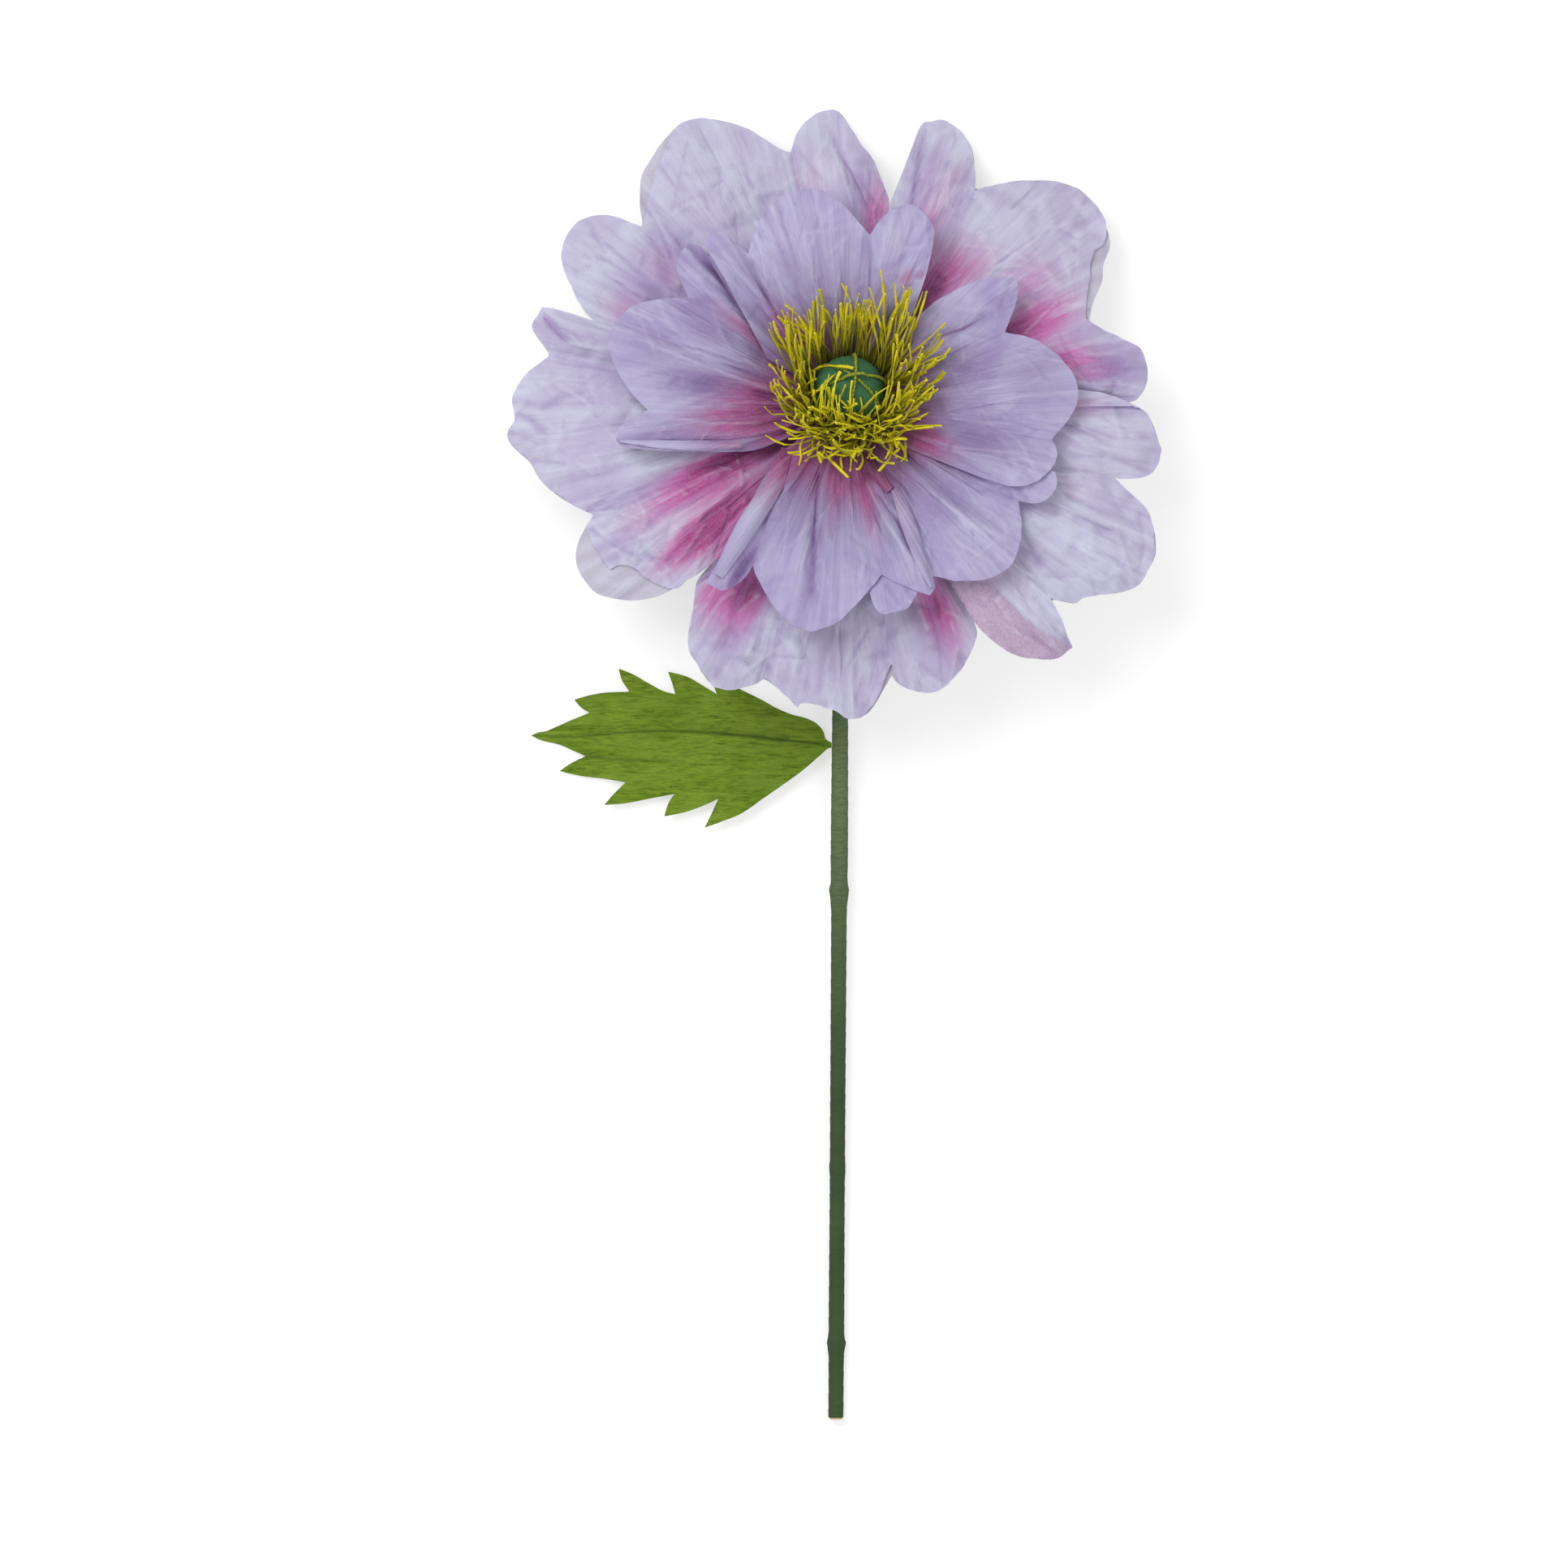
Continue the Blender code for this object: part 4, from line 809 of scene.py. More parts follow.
def add_fringe(name, band, count, tip_radii, tip_heights, seed):
    rng = np.random.default_rng(seed)
    tufts = rng.normal(0, 1, (TUFTS, 3))
    strands, girths, twists = [], [], []
    (low_radius, low_height), (high_radius, high_height) = band
    for _ in range(count):
        strand = fringe_strand(rng, tufts, (high_radius, high_height - 1), tip_radii, tip_heights)
        points = smooth_path(strand, 2)
        strands.append([pod_place(*(p * mm)) for p in points])
        widest = STRAND_GIRTH * rng.uniform(0.7, 1.2)
        taper = [1.1, 0.8, 0.9, rng.uniform(0.7, 1.15)]
        shares = np.interp(np.linspace(0, 1, len(points)), [0, 0.25, 0.85, 1], taper)
        girths.append((widest * shares).tolist())
        twists.append(rng.uniform(4, 38) * rng.choice([-1, 1]))
    fringe = made_by(twisted_crepe, path_mesh(name + "_path", strands, girths, twists), name + "_cut",
                     {"Flatness": 0.42, "Sides": 6, "Crepe": stamen_yellow})
    bm = bmesh.new()
    bm.from_mesh(fringe.data)
    section = [(low_radius, low_height), (high_radius, high_height),
               (high_radius + BAND_THICKNESS, high_height - 0.4),
               (low_radius + BAND_THICKNESS, low_height - 0.4)]
    rings = []
    for bearing in np.linspace(0, 2 * math.pi, BAND_SIDES, endpoint=False):
        rings.append([bm.verts.new(pod_place(r * mm * math.cos(bearing), r * mm * math.sin(bearing), h * mm))
                      for r, h in section])
    for ring, following in zip(rings, rings[1:] + rings[:1]):
        for side in range(4):
            ahead = (side + 1) % 4
            bm.faces.new((ring[side], following[side], following[ahead], ring[ahead]))
    bmesh.ops.recalc_face_normals(bm, faces=bm.faces)
    bm.to_mesh(fringe.data)
    bm.free()
    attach(fringe, "root")
    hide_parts(name)


for name, (band, count, tip_radii, tip_heights, seed) in FRINGES.items():
    add_fringe(name, band, count, tip_radii, tip_heights, seed)


# Inner petals
# Five sheets of lilac tissue, each cut with three lobes, dyed magenta where they are gathered and
# crumpled and creased by hand. Their claws are bound round the neck wire, and from there each
# sheet opens in folds into a bowl.
CLAW_FOOT = -16
CLAW_SPACING = 0.9
PETAL_ROWS = 110
PETAL_COLUMNS = 220
BACKING_COLUMNS = 120
PETAL_PAPER = 0.3 * mm
PLEAT_ROWS = 44
PLEAT_COLUMNS = 9
TABLE_GAP = 0.35
# How far rims that droop sink to the table at a radius: above the pod, more at its right, and below it
SAG_RADIUS = 200
SAG_ABOVE = 14
SAG_RIGHT = 16
SAG_BELOW = 28
# Radii at which the arc of a bearing is measured, for the paper's UV map and for the crumpled facets
PAPER_RADIUS = 120
FACET_RADIUS = 100
WIDE_FACETS = (15, 30)
FINE_FACETS = (5.5, 10)
CRUMPLES = 120


def bowl_table(points):
    """Radius, height and slope along a smooth bowl, from a few (radius, height) in mm."""
    path = np.array([tuple(p) for p in smooth_path([Vector(p) for p in points], 24)])
    radius = np.linspace(path[0, 0], path[-1, 0], 600)
    height = np.interp(radius, path[:, 0], path[:, 1])
    return radius, height, np.gradient(height, radius)


class PetalRing:
    """One ring of sheets: the bowl they share, how far apart they lie, and the crests of their lobes."""

    def __init__(self, claw_radius, bowl, claw_gap, wide_gap, droops, pleat_height, pleat_reach, crumple):
        self.claw_radius = claw_radius
        self.bowl = bowl_table(bowl)
        self.claw_gap = claw_gap
        self.wide_gap = wide_gap
        self.droops = droops
        self.pleat_height = pleat_height
        self.pleat_reach = pleat_reach
        self.crumple = crumple
        self.lobes = []

    def add_lobes(self, corners, crests):
        """Three lobes between four corners of a sheet's edge."""
        bearings = [math.atan2(y - GATHER_FROM_POD.y / mm, x - GATHER_FROM_POD.x / mm) for x, y in corners]
        for start, end, crest in zip(bearings, bearings[1:], crests):
            self.lobes.append((start, (end - start + math.pi) % (2 * math.pi) - math.pi, crest))

    def crest(self, bearing):
        highest = np.zeros(bearing.shape)
        for start, span, crest in self.lobes:
            share = ((bearing - start + math.pi) % (2 * math.pi) - math.pi) / span
            inside = (share > 0) & (share < 1)
            highest = np.maximum(highest, crest * np.sin(math.pi * np.clip(share, 0, 1)) ** 2 * inside)
        return highest

    def places(self, bearing, radius, depth, is_backing, foot, relief):
        """Places in metres. foot is a point's share of the way down its claw, and relief is added in mm."""
        table_radius, table_height, table_slope = self.bowl
        height = np.interp(radius, table_radius, table_height)
        slope = np.interp(radius, table_radius, table_slope)
        slope = np.where(foot > 0, 1e3, slope)
        opened = smooth_step(radius, 5, 40)
        offset = depth * (self.claw_gap + opened * (self.wide_gap - self.claw_gap))
        offset += is_backing * CLAW_SPACING * (1 + 2 * opened)
        length = np.hypot(1, slope)
        out = radius + offset * slope / length * (1 - opened * (foot == 0))
        height = (height - offset / length) * (1 - foot) + CLAW_FOOT * foot
        height = height + self.crest(bearing) * smooth_step(radius, 20, 90) + relief * (1 - foot)
        if self.droops:
            side = np.sin(bearing)
            right = smooth_step(np.cos(bearing), -0.2, 0.4)
            sag = np.where(side > 0, SAG_ABOVE + right * SAG_RIGHT, SAG_BELOW)
            height = height - sag * side * side * (radius / SAG_RADIUS) ** 3
        x, y = out * np.cos(bearing), out * np.sin(bearing)
        follow = (1 - smooth_step(out, 5, 40)) * height / POD_ABOVE_GATHER
        x = x - GATHER_FROM_POD.x / mm * follow
        y = y - GATHER_FROM_POD.y / mm * follow
        z = height - math.tan(HEAD_LEAN) * y
        table = TABLE_GAP + (0 if is_backing else CLAW_SPACING) - GATHER.z / mm
        return np.stack([x, y, np.maximum(z, table)], axis=-1) * mm + np.array(GATHER)


def pleats(bearing, radius, seed, reach):
    """Sharp folds that run out from the claw and die away over the sheet, from about -1 to 1."""
    rng = np.random.default_rng(seed)
    total = np.zeros(bearing.shape)
    for _ in range(16):
        phase = bearing * rng.uniform(9, 40) + rng.uniform(0, 6) + radius * rng.uniform(-0.008, 0.008)
        fold = 2 * np.abs(2 * (phase / (2 * math.pi) % 1) - 1) - 1
        gathered = 0.5 + 0.5 * np.sin(bearing * rng.uniform(5, 14) + rng.uniform(0, 6))
        total += fold * gathered * np.exp(-(radius / (reach
                                                      * rng.uniform(0.6, 1.3))) ** 2) * rng.uniform(0.3, 0.8)
    return 0.6 * total * smooth_step(radius, 9, 30)


def facets(across, along, seed, width, length):
    """Flat facets between random points, as in crumpled paper, from -1 to 1. Sheets of one seed match."""
    table = np.random.default_rng(seed).uniform(-1, 1, (97, 41, 3))
    points, lifts = [], []
    for i in range(math.floor(across.min() / width) - 1, math.ceil(across.max() / width) + 2):
        for j in range(math.floor(along.min() / length) - 1, math.ceil(along.max() / length) + 2):
            aside, ahead, lift = table[i % 97, j % 41]
            points.append(Vector(((i + 0.45 * aside) * width, (j + 0.45 * ahead) * length)))
            lifts.append(lift)
    corners, _, triangles, origins, *_ = delaunay_2d_cdt(points, [], [], 0, 1e-4)
    total = np.zeros(across.shape)
    for triangle in triangles:
        a, b, c = (corners[k] for k in triangle)
        lift_a, lift_b, lift_c = (lifts[origins[k][0]] for k in triangle)
        area = (b - a).cross(c - a)
        to_b = ((across - a.x) * (c.y - a.y) - (c.x - a.x) * (along - a.y)) / area
        to_c = ((b.x - a.x) * (along - a.y) - (across - a.x) * (b.y - a.y)) / area
        inside = (to_b >= 0) & (to_c >= 0) & (to_b + to_c <= 1)
        total[inside] = (lift_a + to_b * (lift_b - lift_a) + to_c * (lift_c - lift_a))[inside]
    return total


def crumples(x, y, rng, outline, count, height):
    """Relief in mm and sharp lines of short creases for painted light and shade, at random over an outline
    and mostly outwards.
    """
    total, lines = np.zeros(x.shape), np.zeros(x.shape)
    for _ in range(count):
        middle = rng.uniform(outline.min(axis=0), outline.max(axis=0))
        outwards = math.atan2(middle[1], middle[0])
        angle = outwards + rng.normal(0, 0.45) if rng.uniform() < 0.75 else rng.uniform(0, math.pi)
        reach = rng.uniform(6, 26)
        step = reach * np.array([math.cos(angle), math.sin(angle)])
        bend = rng.normal(0, 0.12) * reach * np.array([-math.sin(angle), math.cos(angle)])
        line = [middle - step, middle + bend, middle + step]
        way, lift = rng.choice([-1, 1]), rng.uniform(0.35, 1)
        total += crease(x, y, line, way * height * lift, rng.uniform(1.8, 7))
        lines += crease(x, y, line, way * lift, 1.1)
    return total, lines


def above_neighbours(relief):
    """How far each point of the grid stands above the mean of those round it, in mm."""
    around = relief
    for axis, size in ((0, 3), (1, 5)):
        padded = np.pad(around, [(size // 2, size // 2) if k == axis else (0, 0) for k in (0, 1)],
                        mode="edge")
        total = np.cumsum(np.insert(padded, 0, 0, axis=axis), axis=axis)
        around = (np.roll(total, -size, axis=axis) - total).take(range(relief.shape[axis]), axis=axis) / size
    return relief - around


def dye_shade_and_light_patch(x, y, middle_x, middle_y, along, across, strength):
    """A patch round a middle, drawn out along the line from the gather, all in mm, for soaked dye, painted
    shade and painted light.
    """
    from_gather = np.array([middle_x - GATHER_FROM_POD.x / mm, middle_y - GATHER_FROM_POD.y / mm])
    way = from_gather / np.hypot(*from_gather)
    forward = (x - middle_x) * way[0] + (y - middle_y) * way[1]
    aside = (y - middle_y) * way[0] - (x - middle_x) * way[1]
    return strength * np.exp(-(forward / along) ** 2 - (aside / across) ** 2)


def pressed_pleat(name, ring, depth, pleat, sheet, material):
    """A pleat pressed flat over its sheet along a line, with its widths, dyes and painted shade along it,
    painted light below nought.
    """
    line, widths, dyes, shades = pleat
    sheet_x, sheet_y, relief = sheet
    middle = along_strokes([line], PLEAT_ROWS)
    way = np.gradient(middle, axis=0)
    way /= np.hypot(way[:, :1], way[:, 1:])
    share = np.linspace(0, 1, PLEAT_ROWS)[:, None] * np.ones((1, PLEAT_COLUMNS))
    side = np.linspace(-0.5, 0.5, PLEAT_COLUMNS)[None, :] * np.ones((PLEAT_ROWS, 1))
    width, dye, shade = (np.interp(share, np.linspace(0, 1, len(values)), values)
                         for values in (widths, dyes, shades))
    aside = side * width
    x, y = middle[:, :1] - way[:, 1:] * aside, middle[:, 1:] + way[:, :1] * aside
    distance = np.hypot(x[..., None, None] - sheet_x, y[..., None, None] - sheet_y)
    near = distance.min(axis=(2, 3), keepdims=True)
    under = np.where(distance < near + 1.5, relief, -100).max(axis=(2, 3))
    evened = [np.convolve(np.pad(row, 4, mode="edge"), np.full(9, 1 / 9), "valid") for row in under.T]
    crest = np.cos(math.pi * side) * smooth_step(share, 0, 0.15)
    from_x, from_y = x - GATHER_FROM_POD.x / mm, y - GATHER_FROM_POD.y / mm
    bearing, radius = np.arctan2(from_y, from_x), np.hypot(from_x, from_y)
    # Painted highlight on the pleat's crest and painted shade at its sides
    attributes = {"dye": dye, "near": shade, "fold": 0.5 * crest - 0.25, "pleat": np.zeros(x.shape),
                  "back": np.zeros(x.shape)}
    height = np.stack(evened, axis=1) + 0.8 + 1.3 * crest
    places = ring.places(bearing, radius, depth, False, np.zeros(x.shape), height)
    uv = np.stack([bearing * PAPER_RADIUS, radius], axis=-1) * mm
    return sheet_mesh(name, places, material, attributes, uv)


def petal_sheet(name, ring, depth, strokes, folds, dye, material, node_name, seed, is_backing=False,
                base_dye=0.8, turned_back=None, shade=(), pale=(), grooves=(), pressed=(), front=None):
    """One sheet of paper, from the outline of its edge as seen from above, clockwise."""
    rng = np.random.default_rng(seed)
    columns = BACKING_COLUMNS if is_backing else PETAL_COLUMNS
    edge = along_strokes(strokes, columns)
    edge_x = edge[:, 0] - GATHER_FROM_POD.x / mm
    edge_y = edge[:, 1] - GATHER_FROM_POD.y / mm
    bearings = np.unwrap(np.arctan2(edge_y, edge_x))
    # Scissors leave the edge a little uneven
    cut = np.random.default_rng(seed + 300).normal(0, 0.3 * ring.crumple, columns)
    reaches = np.hypot(edge_x, edge_y) + np.convolve(cut, np.hanning(7) / 3, "same")
    # The folds near the claw never run back on themselves, even where the edge does
    kernel = np.hanning(15) / np.hanning(15).sum()
    steady = np.convolve(np.pad(bearings, 7, mode="edge"), kernel, mode="valid")
    steady = np.minimum.accumulate(steady) - 1e-4 * np.arange(columns)
    share = np.linspace(0, 1, PETAL_ROWS // 2 if is_backing else PETAL_ROWS)[:, None]
    bearing = steady[None] + (bearings - steady)[None] * smooth_step(share, 0.35, 1.0)
    radius = ring.claw_radius + (reaches[None] - ring.claw_radius) * share
    bearing = np.concatenate([bearing[:1], bearing[:1], bearing])
    radius = np.concatenate([radius[:1], radius[:1], radius])
    foot = np.zeros(radius.shape)
    foot[0] = 1.0
    foot[1] = 0.5
    x = radius * np.cos(bearing) + GATHER_FROM_POD.x / mm
    y = radius * np.sin(bearing) + GATHER_FROM_POD.y / mm
    shared = np.random.default_rng(77)
    gathered = pleats(bearing, radius, 9, ring.pleat_reach)
    relief = ring.pleat_height * gathered
    wide = facets(bearing * FACET_RADIUS, radius, seed, *WIDE_FACETS)
    fine = facets(bearing * FACET_RADIUS, radius, seed + 100, *FINE_FACETS)
    relief += ring.crumple * (0.9 * wide + 0.5 * fine) * smooth_step(radius, 30, 85)
    outline = np.array([corner for stroke in front or strokes for corner in stroke], float)
    # light gathers painted light and shade along the crease lines of the crumples and folds
    creased, light = crumples(x, y, rng, outline, CRUMPLES, 0.65 * ring.crumple)
    relief += creased * smooth_step(radius, 30, 85)
    light = 0.5 * light * ring.crumple
    for line, height, width in folds:
        relief += crease(x, y, line, height, width)
        light += np.sign(height) * crease(x, y, line, 1.0, 1.6)
    for _ in range(5):
        angle, wave, start = shared.uniform(0, 6.3), shared.uniform(38, 90), shared.uniform(0, 6.3)
        relief += 0.35 * np.sin((x * math.cos(angle) + y * math.sin(angle)) * 2 * math.pi / wave + start)
    flutter = np.interp(np.mod(bearing, 2 * math.pi), np.linspace(0, 2 * math.pi, 200), rng.normal(0, 1, 200))
    furthest = ring.bowl[0][-1]
    relief += 0.6 * ring.crumple * flutter * smooth_step(radius, 0.5 * furthest, 0.95 * furthest)
    soaked = base_dye * (1 - smooth_step(radius, 30, 74))
    for patch in dye:
        soaked = np.maximum(soaked, 0) + dye_shade_and_light_patch(x, y, *patch)
    # Painted shade: near darkens the paper towards its claw and in its shade patches
    near = 1 - smooth_step(radius, 42, 112)
    for patch in shade:
        near = np.maximum(near, dye_shade_and_light_patch(x, y, *patch))
    # Painted shade: each groove darkens the paper along its line, as well as sinking it
    for line, width, strength in grooves:
        distance, way = from_line(x, y, line)
        strength = strength * smooth_step(way, 0.0, 0.15) * (1 - smooth_step(way, 0.5, 1.0))
        near = np.maximum(near, strength * np.exp(-(distance / (0.6 * width)) ** 2))
        relief -= strength * np.clip(1 - distance / (1.6 * width), 0, 1)
    # Painted light: each pale patch lightens the paper's colour
    for patch in pale:
        near = near - dye_shade_and_light_patch(x, y, *patch)
    # Painted light on the ridges and painted shade in the hollows of the relief
    light = np.clip(0.5 * light + 0.9 * above_neighbours(relief), -1, 1)
    back = np.zeros(radius.shape)
    if turned_back:
        distance, _ = from_line(x, y, turned_back)
        ends = np.array(turned_back, float)
        side = np.interp(x, ends[:, 0], ends[:, 1])
        back = smooth_step(side - y, -0.6, 0.6) * (x > ends[0, 0] - 25)
        relief += 1.6 * back * np.exp(-distance / 9)
    # fold carries the painted light and shade, and near the painted shade and light
    attributes = {"dye": soaked, "fold": light, "near": near, "pleat": gathered, "back": back}
    places = ring.places(bearing, radius, depth, is_backing, foot, relief)
    uv = np.stack([bearing * PAPER_RADIUS, radius], axis=-1) * mm
    sheet = sheet_mesh(name, places, material, attributes, uv)
    for pleat in pressed:
        strip = pressed_pleat(name + "_pleat", ring, depth, pleat, (x, y, relief), material)
        bm = bmesh.new()
        bm.from_mesh(sheet.data)
        bm.from_mesh(strip.data)
        bm.to_mesh(sheet.data)
        bm.free()
        bpy.data.objects.remove(strip)
    thicken(sheet, PETAL_PAPER)
    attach(sheet, "root")
    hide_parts(node_name)


def tissue(name, pale, tinted, shaded, deepest_shade, dyed, deep, see_through, crumpled):
    """Tissue: mottled, painted shade at its claw, painted light and shade on its creases, streaked with dye,
    creased, letting light through.
    """
    material, tree, shader = new_material(name)
    place = node(tree, "ShaderNodeTexCoord").outputs["Object"]
    sheet = node(tree, "ShaderNodeUVMap", uv_map="paper").outputs[0]
    outwards = node(tree, "ShaderNodeMapping", {"Vector": sheet, "Scale": (1, 0.06, 1)}).outputs[0]
    streaks = noise(tree, outwards, 620.0, 4.0, roughness=0.65, distortion=0.5)
    wide = noise(tree, outwards, 150.0, 3.0)
    clouds = noise(tree, place, 19.0, 5.0, distortion=0.8)
    fibres = noise(tree, place, 640.0, 5.0, roughness=0.7)
    creased = noise(tree, place, 28.0, 7.0, roughness=0.6, distortion=0.35, kind="RIDGED_MULTIFRACTAL")
    gathers = noise(tree, outwards, 240.0, 3.0, distortion=0.3, kind="RIDGED_MULTIFRACTAL")
    dye = carried(tree, "dye")
    near = carried(tree, "near")
    fold = carried(tree, "fold")
    back = carried(tree, "back")
    pleat = carried(tree, "pleat")
    mottle = maths(tree, "ADD", clouds, maths(tree, "MULTIPLY", maths(tree, "SUBTRACT", wide, 0.5), 0.45))
    colour = blended(tree, spread(tree, mottle, 0.36, 0.66), pale, tinted)
    # Painted shade from near, and the deepest painted shade where near passes 1
    painted_shade = maths(tree, "MULTIPLY", near, spread(tree, mottle, 0.3, 0.7, 1.0, 0.65))
    colour = blended(tree, painted_shade, colour, shaded)
    colour = blended(tree, spread(tree, near, 1.0, 1.7, 0.0, 0.9), colour, deepest_shade)
    # Painted light where near falls below nought, in the pale patches
    colour = blended(tree, spread(tree, near, -1.0, 0.0, 0.75, 0.0), colour, painted(226, 228, 243))
    colour = blended(tree, spread(tree, streaks, 0.44, 0.64, 0.0, 0.15), colour, shaded)
    colour = blended(tree, spread(tree, streaks, 0.3, 0.44, 0.15, 0.0), colour, painted(224, 226, 242))
    # Painted highlight along the ridges of the crumpled relief
    ridge_highlight = spread(tree, creased, 0.55, 1.0, 0.0, 0.3 * crumpled)
    colour = blended(tree, ridge_highlight, colour, painted(222, 222, 238))
    # Painted shade in the valleys of the pleats
    valley = spread(tree, pleat, -0.7, 0.3, 1.0, 0.0)
    colour = blended(tree, maths(tree, "MULTIPLY", valley, 0.45), colour, shaded)
    uneven = maths(tree, "ADD", maths(tree, "MULTIPLY", maths(tree, "SUBTRACT", streaks, 0.5), 2.1),
                   maths(tree, "MULTIPLY", maths(tree, "SUBTRACT", wide, 0.5), 1.7))
    uneven = maths(tree, "ADD", uneven, maths(tree, "MULTIPLY", valley, 0.5))
    soaked = maths(tree, "MULTIPLY", dye, maths(tree, "ADD", 1.0, uneven))
    colour = blended(tree, spread(tree, soaked, 0.05, 0.8, 0.0, 0.94), colour, dyed)
    colour = blended(tree, spread(tree, soaked, 0.8, 1.6, 0.0, 0.85), colour, deep)
    # Painted shade at the sharp bottoms of the pleats, near the claw
    groove = spread(tree, pleat, -0.95, -0.6, 1.0, 0.0)
    groove_shade = maths(tree, "MULTIPLY", groove, maths(tree, "MULTIPLY", near, 0.5))
    colour = blended(tree, groove_shade, colour, deepest_shade)
    speckled = blended(tree, spread(tree, fibres, 0.36, 0.64), painted(211, 190, 213), painted(194, 148, 186))
    colour = blended(tree, maths(tree, "MULTIPLY", back, 0.8), colour, speckled)
    colour = blended(tree, spread(tree, fibres, 0.36, 0.6, 0.18, 0.0), colour, tinted)
    # Painted light on ridges and painted shade in creases and hollows, carried as fold
    colour = blended(tree, spread(tree, fold, 0.0, 1.0, 0.0, 0.32), colour, painted(228, 228, 244))
    colour = blended(tree, spread(tree, fold, 0.0, -1.0, 0.0, 0.42), colour, shaded)
    height = maths(tree, "MULTIPLY", creased, crumpled)
    height = maths(tree, "ADD", height, maths(tree, "MULTIPLY", gathers, 0.3))
    height = maths(tree, "ADD", height, maths(tree, "MULTIPLY", streaks, 0.16))
    height = maths(tree, "ADD", height, maths(tree, "MULTIPLY", fibres, 0.1))
    relief = finish_surface(tree, shader, colour, 0.58, height, 0.95, 0.0042, specular=0.35)
    let_light_through(tree, shader, see_through, colour, relief)
    return material


lilac = tissue("lilac_tissue", painted(210, 207, 233), painted(186, 175, 217), painted(150, 126, 176),
               painted(90, 58, 116), painted(188, 94, 154), painted(138, 44, 102), 0.34, 0.55)
inner_ring = PetalRing(2.2, [(2.2, 0), (4, 6), (9, 11), (20, 17), (45, 32), (80, 45), (115, 48), (150, 45)],
                       CLAW_SPACING, 2.9, False, 2.6, 82, 1.25)
